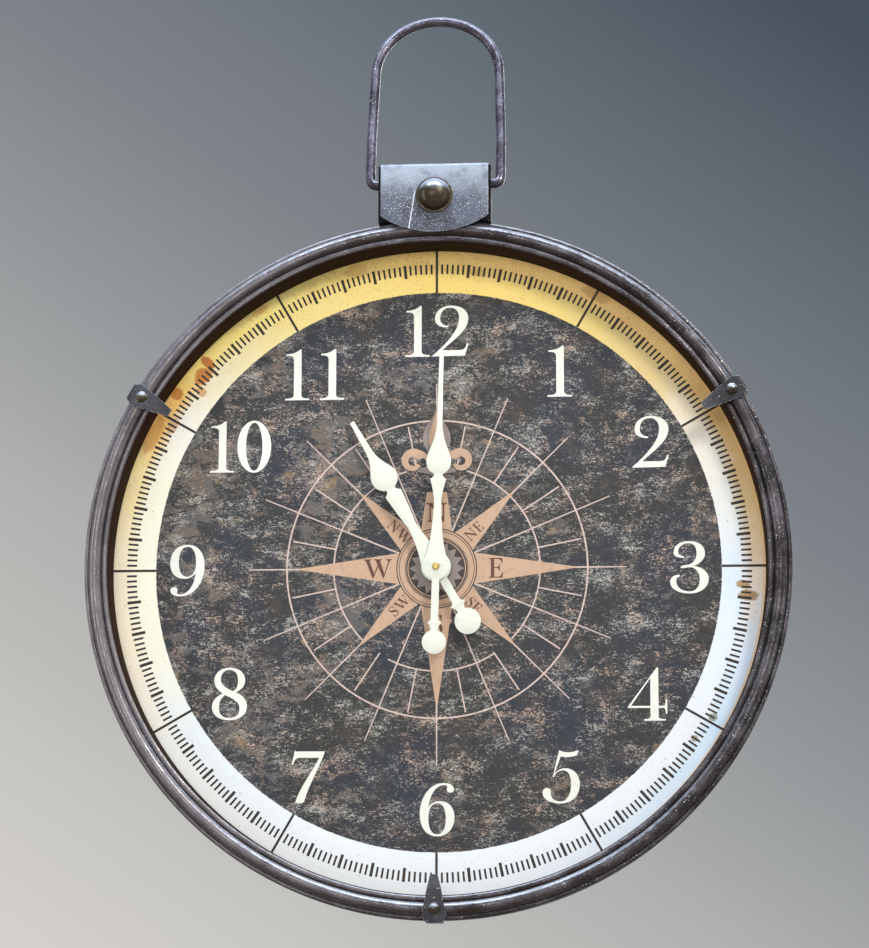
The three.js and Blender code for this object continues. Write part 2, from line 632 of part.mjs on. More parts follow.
// The motion work takes the hour hand's twelfth of a turn from the cannon pinion.
function addMotionWork() {
  const minutePhase = degrees(90 - MINUTE_ANGLE);
  const { teeth, module } = CANNON;
  const { radius, back, z } = MINUTE_ARBOR;
  const cannon = toothedWheel(teeth, module, minutePhase, -10.3, -9.1);
  add('minute_arbor', cannon.add(bar(radius, -back, z)), BRASS);

  const wheelPhase = meshPhase({ phase: minutePhase }, teeth, MOTION.wheel, Math.PI);
  const wheel = toothedWheel(MOTION.wheel, module, wheelPhase, -10.2, -9.2);
  const pinion = toothedWheel(MOTION.pinion, HOUR_WHEEL.module, wheelPhase, -9.4, -7.7);
  const motionArbor = bar(0.9, -(MOVEMENT.back - 0.4), -7.7, 12);
  const at = [MOTION_X, 0, 0];
  add('motion_wheel', wheel.add(pinion).add(motionArbor), WHITE_PLASTIC, { at });

  const hourPhase = meshPhase({ phase: wheelPhase }, MOTION.pinion, HOUR_WHEEL.teeth, 0);
  const hourDisc = toothedWheel(HOUR_WHEEL.teeth, HOUR_WHEEL.module, hourPhase, -8.8, -7.9);
  const pipe = bar(HOUR_PIPE.outer, -8.8, HOUR_PIPE.z);
  const bore = bar(boreFor(MINUTE_ARBOR.radius), -BACK, BACK);
  add('hour_wheel', hourDisc.add(pipe).subtract(bore), WHITE_PLASTIC);

  const knob = bar(KNOB.radius, -KNOB.back, -KNOB.front, 20);
  const stem = bar(KNOB.stem, -KNOB.front - 0.5, -MOVEMENT.back, 12);
  add('setting_knob', knob.add(stem), BLACK_PLASTIC, { at });
}

function handNut() {
  const seat = MINUTE_HAND.z + HAND_SHEET + GAP;
  const inner = MINUTE_ARBOR.radius + GAP;
  const crown = [[3, seat], [3, seat + 0.9], [2.4, seat + 1.6], [inner, seat + 1.6]];
  return turned([[inner, seat], ...crown, [inner, seat]], 16);
}

// ---- Assembly ----
add('bezel_ring', bezelRing(), GUNMETAL);
add('case_band', caseBand(), BAND_BLACK);
add('dial_face', dialFace(), PRINT);
add('dial_board', dialBoard(), BOARD);

CLAW_NAMES.forEach((name, i) => {
  const clockwise = CLAW_ANGLES[i];
  const rivetAt = new THREE.Vector3(0, BEAD.r, 0).applyAxisAngle(
    new THREE.Vector3(0, 0, 1),
    -degrees(clockwise),
  );
  add(`claw_${name}`, claw(), GUNMETAL, { clockwise });
  add(`claw_rivet_${name}`, clawRivet(), RIVET_BRONZE, { at: rivetAt.toArray() });
});

CLIP_ANGLES.forEach((clockwise, i) => {
  const turn = degrees(90 - clockwise);
  const at = [CLIP_SCREW_R * Math.cos(turn), CLIP_SCREW_R * Math.sin(turn), 0];
  add(`dial_clip_${i + 1}`, dialClip(), ZINC, { clockwise });
  add(`clip_screw_${i + 1}`, clipScrew(), ZINC, { at });
});

add('neck_box', neckBox(), BAND_BLACK);
add('saddle', saddle(), SADDLE_STEEL);
add('dome_bolt', domeBolt(), RIVET_BRONZE, { at: [0, BOLT_Y, 0] });
add('dome_washer', domeWasher(), RIVET_BRONZE, { at: [0, BOLT_Y, 0] });
const NUT_Z = NECK.back - GAP - PLATE - GAP;
const domeNut = hexNut(7.5, BOLT_RADIUS + GAP, NUT_Z - 4, NUT_Z);
add('dome_nut', domeNut, ZINC, { at: [0, BOLT_Y, 0] });
const pivotAt = [0, BAIL.pivotY, BAIL.pivotZ];
add('bail', bail(), BAIL_IRON, { at: pivotAt, tilt: -BAIL_LEAN });

add('hanger_plate', hangerPlate(), ZINC);
for (const [name, side] of [['left', -1], ['right', 1]]) {
  add(`neck_screw_${name}`, neckScrew(), ZINC, { at: [side * NECK_SCREW.x, 0, 0] });
  const rivetAt = [side * HANGER.rivetX, HANGER.rivetY, 0];
  add(`hanger_rivet_${name}`, hangerRivet(), ZINC, { at: rivetAt });
  const slope = degrees(-90 + side * 30);
  const bumperAt = [FLANGE_MIDDLE * Math.cos(slope), FLANGE_MIDDLE * Math.sin(slope), 0];
  const bumper = bar(BUMPER_RADIUS, -BACK, FLANGE.back - GAP, 16);
  add(`wall_bumper_${name}`, bumper, RUBBER, { at: bumperAt });
}

add('movement_housing', movementHousing(), BLACK_PLASTIC);
add('movement_cover', movementCover(), BLACK_PLASTIC);
const GASKET_Z = BOARD_BACK - GAP;
add('movement_gasket', tube(10, BUSHING_RADIUS + GAP, GASKET_Z - 0.7, GASKET_Z), RUBBER);
add('mounting_washer', tube(8.5, BUSHING_RADIUS + GAP, GAP, GAP + 0.6), BRASS);
add('mounting_nut', hexNut(6.9, BUSHING_RADIUS + GAP, 2 * GAP + 0.6, 2 * GAP + 3), BRASS);
add('battery_cell', dryCell(), CELL_GREY);
add('battery_contact_left', contactPlate(-26.1), BRASS);
add('battery_contact_right', contactPlate(25.3), BRASS);
add('circuit_board', box(15.5, 25.5, -9, 24, -9.2, -8.2), BOARD_GREEN);
addTrain();
add('stator', stator(TRAIN[4]), ZINC);
add('coil', coil(), COPPER);
add('train_bridge', box(-20, 14, 3, 25, -18.4, -ARBOR.back - 0.2), WHITE_PLASTIC);
addMotionWork();
add('hour_hand', hand(HOUR_HAND, HOUR_PIPE.outer + GAP), CREAM, { clockwise: HOUR_ANGLE });
add('minute_hand', hand(MINUTE_HAND, MINUTE_ARBOR.radius + GAP), CREAM, { clockwise: MINUTE_ANGLE });
add('hand_nut', handNut(), BRASS);

// Z up, the wall at Y = 0 and the origin on the hanger plate.
clock.rotation.x = Math.PI / 2;
clock.position.set(0, -BACK, -ORIGIN_Y);
const part = new THREE.Group();
part.add(clock);

export default part;
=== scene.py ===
"""Looks of the wall clock in pocket-watch style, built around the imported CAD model.

Most shapes are written in the dial's own frame, in millimetres: X to the right, Y up the dial,
Z out of the wall, and the origin where the hands' axis meets the front of the dial. DIAL takes
that frame into the row frame, in metres.
"""

import json
import math

import bmesh
import bpy
from mathutils import Matrix, Vector, geometry


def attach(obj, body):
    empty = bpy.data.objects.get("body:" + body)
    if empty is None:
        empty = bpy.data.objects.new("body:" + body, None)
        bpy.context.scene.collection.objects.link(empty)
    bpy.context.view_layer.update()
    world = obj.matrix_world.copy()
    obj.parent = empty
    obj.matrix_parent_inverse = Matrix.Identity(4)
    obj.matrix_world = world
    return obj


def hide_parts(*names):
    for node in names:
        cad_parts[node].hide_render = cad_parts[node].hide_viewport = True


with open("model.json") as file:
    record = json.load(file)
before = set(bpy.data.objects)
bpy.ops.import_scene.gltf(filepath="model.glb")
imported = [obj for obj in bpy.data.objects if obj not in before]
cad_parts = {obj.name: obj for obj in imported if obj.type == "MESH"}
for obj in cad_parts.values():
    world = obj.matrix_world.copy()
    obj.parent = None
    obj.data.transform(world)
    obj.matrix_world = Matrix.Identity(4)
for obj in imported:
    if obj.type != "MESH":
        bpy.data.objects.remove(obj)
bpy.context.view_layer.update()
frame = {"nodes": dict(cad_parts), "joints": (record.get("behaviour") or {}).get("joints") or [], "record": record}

MM = 0.001
SCENE = bpy.context.scene
JOINTS = {joint["name"]: joint for joint in frame["joints"]}
HUB = Vector(JOINTS["minute_turn"]["pos_m"])
DIAL = Matrix.Translation(HUB) @ Matrix.Rotation(math.pi / 2, 4, "X") @ Matrix.Scale(MM, 4)
SLOT = {part["node"]: part["material_slot"] for part in frame["record"]["subparts"]}
BODY = {
    node: body
    for body, nodes in frame["record"]["behaviour"]["bodies"].items()
    for node in nodes
}

# ---- Driving dimensions, in millimetres, as in the CAD ----
CASE_RADIUS = 300
RECESS = 34
BACK = 24
SHEET = 1.2
PLATE = 1.6
GAP = 0.3
LIP = {"radius": 2.1, "r": 297.9, "z": 24.2}
BEAD = {"radius": 5.4, "r": 290.4, "z": 28.6}
INNER_BEAD = {"radius": 3.0, "r": 282.0, "z": 28.0}
WALL_RADIUS = 279.0
CHAPTER_RADIUS = 242.0
CLAW_ANGLES = {"right": 60, "bottom": 180, "left": 300}
BOLT_Y = 319.5
SADDLE_FRONT = 36.6
BAIL_WIRE = 4.25
KNOB = (-12, 0)  # the setting knob's axis
BAIL_PIVOT = (0, 333, 21.5)
BAIL_REACH = 166.6
BAIL_ARCH = 54.3
INK_BASE = -0.05  # printed layers start just below the dial's face


# ---- Colours and materials ----
def rgb(red, green, blue):
    """A display colour from 0 to 255, as the linear colour that a shader takes."""

    def linear(value):
        value /= 255
        return value / 12.92 if value <= 0.04045 else ((value + 0.055) / 1.055) ** 2.4

    return (linear(red), linear(green), linear(blue), 1.0)


def fill_ramp(elements, stops):
    """Gives a colour ramp its stops of (position, colour)."""
    while len(elements) < len(stops):
        elements.new(0.5)
    for element, (position, colour) in zip(elements, stops):
        element.position = position
        element.color = rgb(*colour)


class Paint:
    """A material whose patterns are laid out in millimetres from the hub, in the row frame's axes."""

    def __init__(self, name, roughness, metallic=0.0, coat=0.0, shine=0.5):
        self.material = bpy.data.materials.new(name)
        self.material.use_nodes = True
        self.nodes = self.material.node_tree.nodes
        self.links = self.material.node_tree.links
        self.nodes.clear()
        self.shader = self.nodes.new("ShaderNodeBsdfPrincipled")
        output = self.nodes.new("ShaderNodeOutputMaterial")
        self.links.new(self.shader.outputs["BSDF"], output.inputs["Surface"])
        settings = {
            "Roughness": roughness,
            "Metallic": metallic,
            "Specular IOR Level": shine,
            "Coat Weight": coat,
            "Coat Roughness": 0.3,
        }
        for socket, value in settings.items():
            self.shader.inputs[socket].default_value = value
        coordinates = self.nodes.new("ShaderNodeTexCoord").outputs["Object"]
        offset = tuple(-HUB / MM)
        self.place = self.vector("MULTIPLY_ADD", coordinates, (1 / MM,) * 3, offset)
        split = self.nodes.new("ShaderNodeSeparateXYZ")
        self.links.new(self.place, split.inputs[0])
        self.x, _, self.z = split.outputs

    def put(self, socket, value):
        """Links a socket to another one, or sets it to a number, a vector or a display colour."""
        if isinstance(value, bpy.types.NodeSocket):
            self.links.new(value, socket)
        elif socket.type == "RGBA" and len(value) == 3:
            socket.default_value = rgb(*value)
        else:
            socket.default_value = value

    def operate(self, kind, operation, values):
        node = self.nodes.new(kind)
        node.operation = operation
        for socket, value in zip(node.inputs, values):
            self.put(socket, value)
        return node.outputs

    def maths(self, operation, *values):
        return self.operate("ShaderNodeMath", operation, values)[0]

    def scaled(self, value, factor, offset):
        """value * factor + offset"""
        return self.maths("MULTIPLY_ADD", value, factor, offset)

    def vector(self, operation, *values):
        return self.operate("ShaderNodeVectorMath", operation, values)[0]

    def radius(self):
        """How far a point is from the hands' axis."""
        squares = self.both(self.x, self.x)
        squares = self.scaled(self.z, self.z, squares)
        return self.maths("SQRT", squares)

    def turn(self):
        """The clockwise angle round the dial, from 0 at twelve o'clock up to 1."""
        angle = self.maths("ARCTAN2", self.x, self.z)
        return self.maths("FRACT", self.both(angle, 1 / (2 * math.pi)))

    def facing_up(self):
        """How far a surface faces upwards, from -1 to 1."""
        split = self.nodes.new("ShaderNodeSeparateXYZ")
        self.links.new(self.nodes.new("ShaderNodeTexCoord").outputs["Normal"], split.inputs[0])
        return split.outputs[2]

    def shade(self, colour, above, below, high, low, start=0.45):
        """Paints a highlight on the upper faces of a colour and shade on the lower faces, standing in for light
        that falls from above.
        """
        upward = self.facing_up()
        ragged = self.scaled(self.noise(5, 4, offset=47.0), 0.5, upward)
        # painted highlight on the faces that look upwards
        colour = self.mix(self.step(ragged, start, start + 0.6, 0.0, high), colour, above)
        # painted shade on the faces that look downwards
        return self.mix(self.step(ragged, 0.10, -0.40, 0.0, low), colour, below)

    def ramp(self, value, stops):
        """The colour at a value between 0 and 1, from stops of (position, colour)."""
        node = self.nodes.new("ShaderNodeValToRGB")
        fill_ramp(node.color_ramp.elements, stops)
        self.links.new(value, node.inputs[0])
        return node.outputs[0]

    def pattern(self, kind, size, stretch, offset):
        """A texture whose clouds or cells are about that size, in millimetres."""
        node = self.nodes.new(kind)
        scale = tuple(1 / (size * share) for share in stretch)
        self.put(node.inputs["Vector"], self.vector("MULTIPLY_ADD", self.place, scale, (offset,) * 3))
        node.inputs["Scale"].default_value = 1.0
        return node

    def noise(self, size, detail, stretch=(1, 1, 1), offset=0.0, rough=0.55, warp=0.0):
        node = self.pattern("ShaderNodeTexNoise", size, stretch, offset)
        node.inputs["Detail"].default_value = detail
        node.inputs["Roughness"].default_value = rough
        node.inputs["Distortion"].default_value = warp
        return node.outputs["Fac"]

    def flecks(self, spacing, radius, share, stretch=(1, 1, 1), offset=0.0):
        """1 inside small spots: about one cell of that spacing in 1/share holds one."""
        node = self.pattern("ShaderNodeTexVoronoi", spacing, stretch, offset)
        near = self.step(node.outputs["Distance"], radius / spacing, 0.6 * radius / spacing)
        split = self.nodes.new("ShaderNodeSeparateColor")
        self.links.new(node.outputs["Color"], split.inputs[0])
        chosen = self.maths("LESS_THAN", split.outputs[0], share)
        strength = self.scaled(split.outputs[1], 0.7, 0.3)
        return self.both(near, chosen, strength)

    def step(self, value, start, end, low=0.0, high=1.0):
        """A smooth step from low at start to high at end; end may be below start."""
        node = self.nodes.new("ShaderNodeMapRange")
        node.interpolation_type = "SMOOTHSTEP"
        for socket, part in zip(node.inputs, (value, start, end, low, high)):
            self.put(socket, part)
        return node.outputs["Result"]

    def mix(self, factor, first, second):
        """The first colour where the factor is 0, the second where it is 1."""
        node = self.nodes.new("ShaderNodeMix")
        node.data_type = "RGBA"
        for index, value in ((0, factor), (6, first), (7, second)):
            self.put(node.inputs[index], value)
        return node.outputs[2]

    def patches(self, colour, tint, size, detail, start, end, strength=1.0, **settings):
        """The colour with cloudy patches of a tint, where a noise passes from start to end."""
        covered = self.step(self.noise(size, detail, **settings), start, end, 0.0, strength)
        return self.mix(covered, colour, tint)

    def sprinkle(self, colour, tint, strength, spacing, radius, share, **settings):
        """The colour with small spots of a tint."""
        spots = self.flecks(spacing, radius, share, **settings)
        return self.mix(self.both(spots, strength), colour, tint)

    def both(self, *factors):
        """The product of two or more values."""
        made = factors[0]
        for factor in factors[1:]:
            made = self.maths("MULTIPLY", made, factor)
        return made

    def worn_edges(self, width):
        """1 along the sharp edges of the piece, within the width in millimetres."""
        bevel = self.nodes.new("ShaderNodeBevel")
        bevel.samples = 4
        bevel.inputs["Radius"].default_value = width * MM
        true_normal = self.nodes.new("ShaderNodeNewGeometry").outputs["Normal"]
        normals = (bevel.outputs[0], true_normal)
        alike = self.operate("ShaderNodeVectorMath", "DOT_PRODUCT", normals)["Value"]
        return self.step(self.maths("SUBTRACT", 1.0, alike), 0.02, 0.12)

    def bump(self, height, distance, strength):
        node = self.nodes.new("ShaderNodeBump")
        node.inputs["Strength"].default_value = strength
        node.inputs["Distance"].default_value = distance * MM
        self.links.new(height, node.inputs["Height"])
        self.links.new(node.outputs[0], self.shader.inputs["Normal"])

    def finish(self, colour, roughness=None):
        self.put(self.shader.inputs["Base Color"], colour)
        if roughness is not None:
            self.put(self.shader.inputs["Roughness"], roughness)
        return self.material


def speckled_metal(name, dark, light, fleck, roughness, metallic, share, wear=0.0, shine=0.5):
    """Painted steel: soft clouds of two tones, fine grain, pale flecks, worn edges, an orange-peel skin."""
    paint = Paint(name, roughness=roughness, metallic=metallic, shine=shine)
    colour = paint.patches(dark, light, 26, 4, 0.36, 0.64)
    colour = paint.patches(colour, light, 1.1, 3, 0.45, 0.75, 0.5, offset=7.0)
    small = paint.flecks(2.0, 0.5, share)
    large = paint.flecks(5.6, 0.8, share * 0.4, offset=3.0)
    spots = paint.maths("MAXIMUM", small, large)
    patch = paint.step(paint.noise(14, 3, offset=11.0), 0.40, 0.62, 0.3, 1.0)
    colour = paint.mix(paint.both(spots, patch), colour, fleck)
    if wear:
        ragged = paint.step(paint.noise(2.4, 3, offset=5.0), 0.35, 0.6)
        edges = paint.both(paint.worn_edges(0.9), ragged, wear)
        colour = paint.mix(edges, colour, fleck)
    rough = paint.step(paint.noise(9, 4, offset=19.0), 0.3, 0.7, roughness - 0.08, roughness + 0.14)
    skin = paint.scaled(paint.noise(0.8, 2), 0.35, paint.noise(4.5, 2, offset=2.0))
    paint.bump(skin, 0.10, 0.45)
    return paint, colour, rough


def bezel_paint():
    metallic = 0.55
    paint, colour, rough = speckled_metal(
        "bezel gunmetal", (50, 47, 49), (98, 94, 98), (228, 226, 224), 0.30, metallic, share=0.8, shine=0.1
    )
    # the left side is painted paler, standing in for the brighter light on that side
    leftward = paint.step(paint.x, 60, -240, 0.0, 0.6)
    colour = paint.mix(leftward, colour, (140, 134, 136))
    colour = paint.patches(colour, (58, 46, 40), 34, 3, 0.46, 0.70, 0.45, offset=23.0)
    # painted highlight on the ring's upper faces and painted brown shade on its lower faces
    colour = paint.shade(colour, (204, 210, 222), (46, 33, 20), 0.85, 0.75)
    # the wall of the recess is painted a deep brown, as painted shade in the recess, and has no metal shine
    inside = paint.step(paint.radius(), WALL_RADIUS + 1.6, WALL_RADIUS + 0.4)
    deep = paint.mix(paint.noise(6, 3), (26, 15, 7), (50, 30, 15))
    colour = paint.mix(inside, colour, deep)
    paint.put(paint.shader.inputs["Metallic"], paint.scaled(inside, -metallic, metallic))
    return paint.finish(colour, paint.maths("MAXIMUM", rough, paint.both(inside, 0.9)))


def band_paint():
    paint, colour, rough = speckled_metal(
        "band black", (9, 9, 10), (22, 21, 23), (110, 108, 108), 0.62, 0.0, share=0.2, shine=0.08
    )
    return paint.finish(colour, rough)


def claw_paint():
    paint, colour, rough = speckled_metal(
        "claw steel", (32, 32, 36), (64, 64, 72), (214, 214, 214), 0.36, 0.4, share=0.45, wear=0.9
    )
    return paint.finish(colour, rough)


def bronze_paint():
    paint, colour, rough = speckled_metal(
        "rivet bronze", (50, 40, 26), (84, 72, 50), (214, 210, 200), 0.30, 0.5, share=0.25
    )
    # painted highlight on the upper faces and painted brown shade on the lower faces
    colour = paint.shade(colour, (190, 200, 218), (44, 30, 14), 0.9, 0.8, 0.3)
    return paint.finish(colour, rough)


def saddle_paint():
    paint, colour, rough = speckled_metal(
        "saddle steel", (50, 52, 64), (84, 89, 104), (240, 242, 246), 0.46, 0.3, share=0.8, wear=0.9
    )
    lit = paint.step(paint.scaled(paint.noise(16, 4), 26, paint.z), 318, 366, 0.0, 0.86)
    colour = paint.mix(lit, colour, (172, 184, 198))
    colour = paint.patches(colour, (70, 74, 88), 13, 4, 0.52, 0.70, 0.55, offset=41.0)
    # short curled scratches
    curled = {"stretch": (2.2, 1, 0.8), "offset": 31.0, "warp": 3.0}
    colour = paint.patches(colour, (206, 212, 220), 1.5, 3, 0.60, 0.65, 0.6, **curled)
    # one long scratch runs down from the washer's left to the lower edge
    lean = paint.scaled(paint.z, -0.154, 66.0)
    offset = paint.maths("ADD", paint.x, lean)
    ragged = paint.scaled(paint.noise(3, 2), 1.2, offset)
    near = paint.step(paint.maths("ABSOLUTE", ragged), 0.7, 0.2)
    below = paint.step(paint.z, 326, 320)
    colour = paint.mix(paint.both(near, below, 0.8), colour, (230, 234, 240))
    return paint.finish(colour, rough)


def bail_paint():
    paint, colour, rough = speckled_metal(
        "bail iron", (44, 40, 48), (96, 92, 106), (220, 218, 226), 0.30, 0.45, share=0.9
    )
    # dark streaks that run up and down
    streaks = {"stretch": (1, 1, 3), "offset": 13.0}
    colour = paint.patches(colour, (52, 44, 46), 2.0, 4, 0.5, 0.7, 0.45, **streaks)
    # painted highlight on the wire's upper faces and painted shade under it
    colour = paint.shade(colour, (196, 202, 218), (44, 33, 30), 0.75, 0.75)
    return paint.finish(colour, rough)


# ---- The printed dial ----
# Colours of the chapter band: clockwise angle, at its inner edge, at its outer edge
# near the top the outer colours are painted a little lighter, as painted light that makes up for the shade the
# wall casts there
BAND_COLOURS = (
    (0, (248, 216, 122), (255, 216, 128)),
    (15, (250, 220, 130), (255, 212, 130)),
    (30, (240, 214, 132), (252, 208, 132)),
    (48, (230, 204, 144), (252, 210, 134)),
    (62, (236, 226, 208), (218, 176, 110)),
    (80, (228, 230, 226), (236, 202, 146)),
    (92, (216, 228, 240), (246, 224, 198)),
    (105, (226, 234, 242), (226, 238, 248)),
    (120, (230, 234, 236), (206, 226, 242)),
    (160, (235, 240, 242), (238, 243, 247)),
    (235, (236, 241, 241), (246, 246, 238)),
    (255, (248, 244, 220), (254, 240, 212)),
    (272, (250, 246, 222), (255, 240, 208)),
    (288, (250, 246, 222), (255, 232, 164)),
    (300, (250, 246, 234), (246, 196, 110)),
    (315, (248, 236, 190), (255, 232, 138)),
    (330, (250, 228, 150), (255, 234, 142)),
    (345, (250, 224, 140), (255, 220, 132)),
    (360, (248, 216, 122), (255, 216, 128)),
)
# Stains on the band: clockwise angle, radius, half length along it, half depth, colour, strength
STAINS = (
    (312.5, 271, 4.0, 6.5, (200, 118, 44), 0.95),
    (310, 266, 7.5, 6.5, (206, 128, 52), 0.95),
    (307.5, 258, 3.6, 4.5, (214, 148, 78), 0.75),
    (304.5, 275, 5.0, 5.5, (200, 124, 48), 0.9),
    (299, 262, 7.0, 4.0, (206, 136, 66), 0.55),
    (296, 274, 16.0, 6.0, (196, 132, 56), 0.6),
    (326, 276, 8.0, 3.0, (214, 150, 66), 0.5),
    (93.5, 260, 3.4, 5.0, (170, 132, 80), 0.9),
    (95.5, 265, 4.2, 8.0, (168, 128, 74), 0.9),
    (119, 266, 3.0, 3.4, (112, 112, 70), 0.75),
    (124, 262, 2.6, 3.0, (128, 108, 70), 0.7),
    (8, 262, 6.0, 3.0, (196, 150, 62), 0.45),
    (30, 275, 12.0, 5.0, (176, 126, 62), 0.5),
    (345, 272, 10.0, 5.0, (196, 140, 64), 0.4),
)


def ground_colour(paint):
    """Charcoal with ragged worn patches, clumps of short dashes and pale grains."""
    ground = paint.patches((46, 46, 44), (42, 46, 55), 80, 2, 0.40, 0.62, offset=1.0)
    ground = paint.patches(ground, (78, 64, 56), 30, 4, 0.50, 0.74, 0.5, offset=9.0)
    # broad worn patches, more of them towards the upper left
    leftward = paint.scaled(paint.x, -0.00035, paint.both(paint.z, 0.00012))
    region = paint.maths("ADD", leftward, paint.noise(60, 3, offset=21.0))
    patch = paint.noise(15, 10, stretch=(1.4, 1, 0.85), offset=13.0, rough=0.74, warp=0.7)
    worms = paint.noise(2.7, 4, stretch=(1.5, 1, 0.7), offset=3.0, rough=0.66, warp=1.8)
    level = paint.scaled(worms, 0.5, paint.scaled(region, 0.60, patch))
    tone = paint.patches((104, 101, 96), (124, 108, 95), 18, 4, 0.44, 0.60, offset=29.0)
    tone = paint.patches(tone, (160, 134, 98), 20, 3, 0.60, 0.68, 0.85, offset=37.0)
    ground = paint.mix(paint.step(level, 1.105, 1.145, 0.0, 0.68), ground, tone)
    # clumps of short dashes
    clump = paint.noise(22, 6, stretch=(1.4, 1, 0.9), offset=17.0, rough=0.68)
    dashes = paint.step(paint.scaled(clump, 0.70, worms), 0.932, 0.972)
    pale = paint.patches((172, 169, 160), (186, 158, 136), 34, 3, 0.44, 0.62, offset=33.0)
    ground = paint.mix(paint.both(dashes, 0.85), ground, pale)
    # grains like scattered dust in the same clumps
    fine = paint.noise(1.5, 3, stretch=(1.3, 1, 0.8), offset=43.0, rough=0.7, warp=0.8)
    grains = paint.step(paint.scaled(clump, 0.62, fine), 0.955, 1.0, 0.0, 0.8)
    ground = paint.mix(grains, ground, (190, 184, 178))
    return paint.sprinkle(ground, (182, 178, 172), 0.5, 3.6, 0.5, 0.35, offset=57.0)


def band_colour(paint, radius):
    """The chapter band: gold and rusty at the top, white below, cream and blue at the sides."""
    cloud = paint.noise(26, 4, offset=51.0)
    turn = paint.scaled(paint.noise(18, 4, offset=77.0), 0.05, paint.turn())
    turn = paint.maths("FRACT", paint.maths("SUBTRACT", turn, 0.025))
    inner = paint.ramp(turn, [(angle / 360, colour) for angle, colour, _ in BAND_COLOURS])
    outer = paint.ramp(turn, [(angle / 360, colour) for angle, _, colour in BAND_COLOURS])
    depth = paint.step(radius, CHAPTER_RADIUS, WALL_RADIUS)
    spread = paint.scaled(cloud, 0.7, paint.maths("SUBTRACT", depth, 0.35))
    band = paint.mix(paint.step(spread, 0.30, 0.85), inner, outer)
    # rust grain, strongest at the top and near the wall
    upward = paint.maths("DIVIDE", paint.z, radius)
    rusty = paint.scaled(upward, 0.08, paint.both(depth, 0.06))
    grain = paint.noise(1.7, 5, offset=87.0, rough=0.75)
    strong = paint.scaled(cloud, 0.30, paint.maths("ADD", grain, rusty))
    band = paint.mix(paint.step(strong, 0.80, 0.92, 0.0, 0.52), band, (176, 124, 60))
    blotch = paint.maths("ADD", paint.noise(8, 6, offset=91.0, rough=0.75), rusty)
    band = paint.mix(paint.step(blotch, 0.63, 0.75, 0.0, 0.3), band, (224, 172, 88))
    mottle = paint.noise(7, 5, offset=61.0, rough=0.7)
    band = paint.mix(paint.step(mottle, 0.56, 0.72, 0.0, 0.26), band, (228, 208, 158))
    specks = paint.maths("MAXIMUM", paint.flecks(2.1, 0.42, 0.35), paint.flecks(6.0, 0.8, 0.25, offset=5.0))
    band = paint.mix(paint.both(specks, 0.6), band, (130, 100, 62))
    for clockwise, distance, along, deep, tint, strength in STAINS:
        angle = math.radians(clockwise)
        right, up = math.sin(angle), math.cos(angle)
        out = paint.scaled(paint.z, up, paint.both(paint.x, right))
        out = paint.scaled(out, 1 / deep, -distance / deep)
        side = paint.scaled(paint.z, -right, paint.both(paint.x, up))
        side = paint.both(side, 1 / along)
        squares = paint.scaled(side, side, paint.both(out, out))
        ragged = paint.scaled(mottle, 2.6, squares)
        ragged = paint.scaled(grain, 2.4, ragged)
        spot = paint.step(ragged, 4.0, 3.3, 0.0, strength)
        band = paint.mix(paint.both(spot, paint.step(out, -6.0, -4.0)), band, tint)
    # painted shade darkens the band along the foot of the wall, and a warm line runs down the right side
    wall_foot_shade = paint.step(radius, WALL_RADIUS - 2.5, WALL_RADIUS + 0.5, 0.0, 0.15)
    band = paint.mix(wall_foot_shade, band, (150, 112, 62))
    edge = paint.step(radius, WALL_RADIUS - 2.6, WALL_RADIUS - 1.6)
    warm = paint.both(edge, paint.step(paint.x, 150, 235), 0.6)
    return paint.mix(warm, band, (246, 196, 124))


def dial_paint():
    paint = Paint("dial print", roughness=0.7)
    radius = paint.radius()
    ground = ground_colour(paint)
    band = band_colour(paint, radius)
    wobble = paint.scaled(paint.noise(3, 3, offset=71.0), 1.4, radius)
    colour = paint.mix(paint.step(wobble, CHAPTER_RADIUS + 0.5, CHAPTER_RADIUS + 1.0), ground, band)
    paint.bump(paint.noise(1.6, 3), 0.05, 0.3)
    return paint.finish(colour, paint.step(paint.noise(7, 4, offset=61.0), 0.3, 0.7, 0.6, 0.8))


def ink(name, colour, second, worn):
    """Printed ink: a second tone in small worn patches, and pinholes."""
    paint = Paint(name, roughness=0.6)
    made = paint.patches(colour, second, 6, 5, 0.50, 0.66, worn, offset=2.0, rough=0.7)
    made = paint.sprinkle(made, second, 0.6, 3.0, 0.35, 0.2, offset=8.0)
    paint.bump(paint.noise(1.6, 3), 0.05, 0.3)
    return paint.finish(made)


def plain(name, colour, second, roughness, metallic, size, relief=0.04, coat=0.0):
    """A moulded or plated finish: slow colour drift, fine grain and uneven gloss."""
    paint = Paint(name, roughness=roughness, metallic=metallic, coat=coat)
    made = paint.patches(colour, second, size, 4, 0.3, 0.7)
    rough = paint.step(paint.noise(size * 0.7, 3, offset=6.0), 0.3, 0.7, roughness - 0.07, roughness + 0.1)
    paint.bump(paint.noise(0.5, 2), relief, 0.5)
    return paint.finish(made, rough)


def fibreboard_paint():
    paint = Paint("dial fibreboard", roughness=0.85)
    fibres = paint.noise(1.2, 4, stretch=(4, 1, 1), rough=0.7, warp=0.6)
    made = paint.mix(paint.step(fibres, 0.35, 0.7), (116, 88, 60), (158, 126, 92))
    made = paint.sprinkle(made, (96, 70, 48), 0.5, 3.4, 0.8, 0.4, stretch=(2.2, 1, 1))
    paint.bump(fibres, 0.12, 0.6)
    return paint.finish(made)


def hand_paint():
    paint = Paint("hand cream", roughness=0.42)
    made = paint.mix(paint.noise(18, 3), (226, 228, 212), (218, 220, 203))
    made = paint.patches(made, (196, 204, 190), 12, 3, 0.54, 0.68, 0.35, offset=14.0)
    made = paint.sprinkle(made, (150, 140, 110), 0.5, 4.0, 0.3, 0.12)
    paint.bump(paint.noise(2.5, 3), 0.04, 0.4)
    return paint.finish(made)


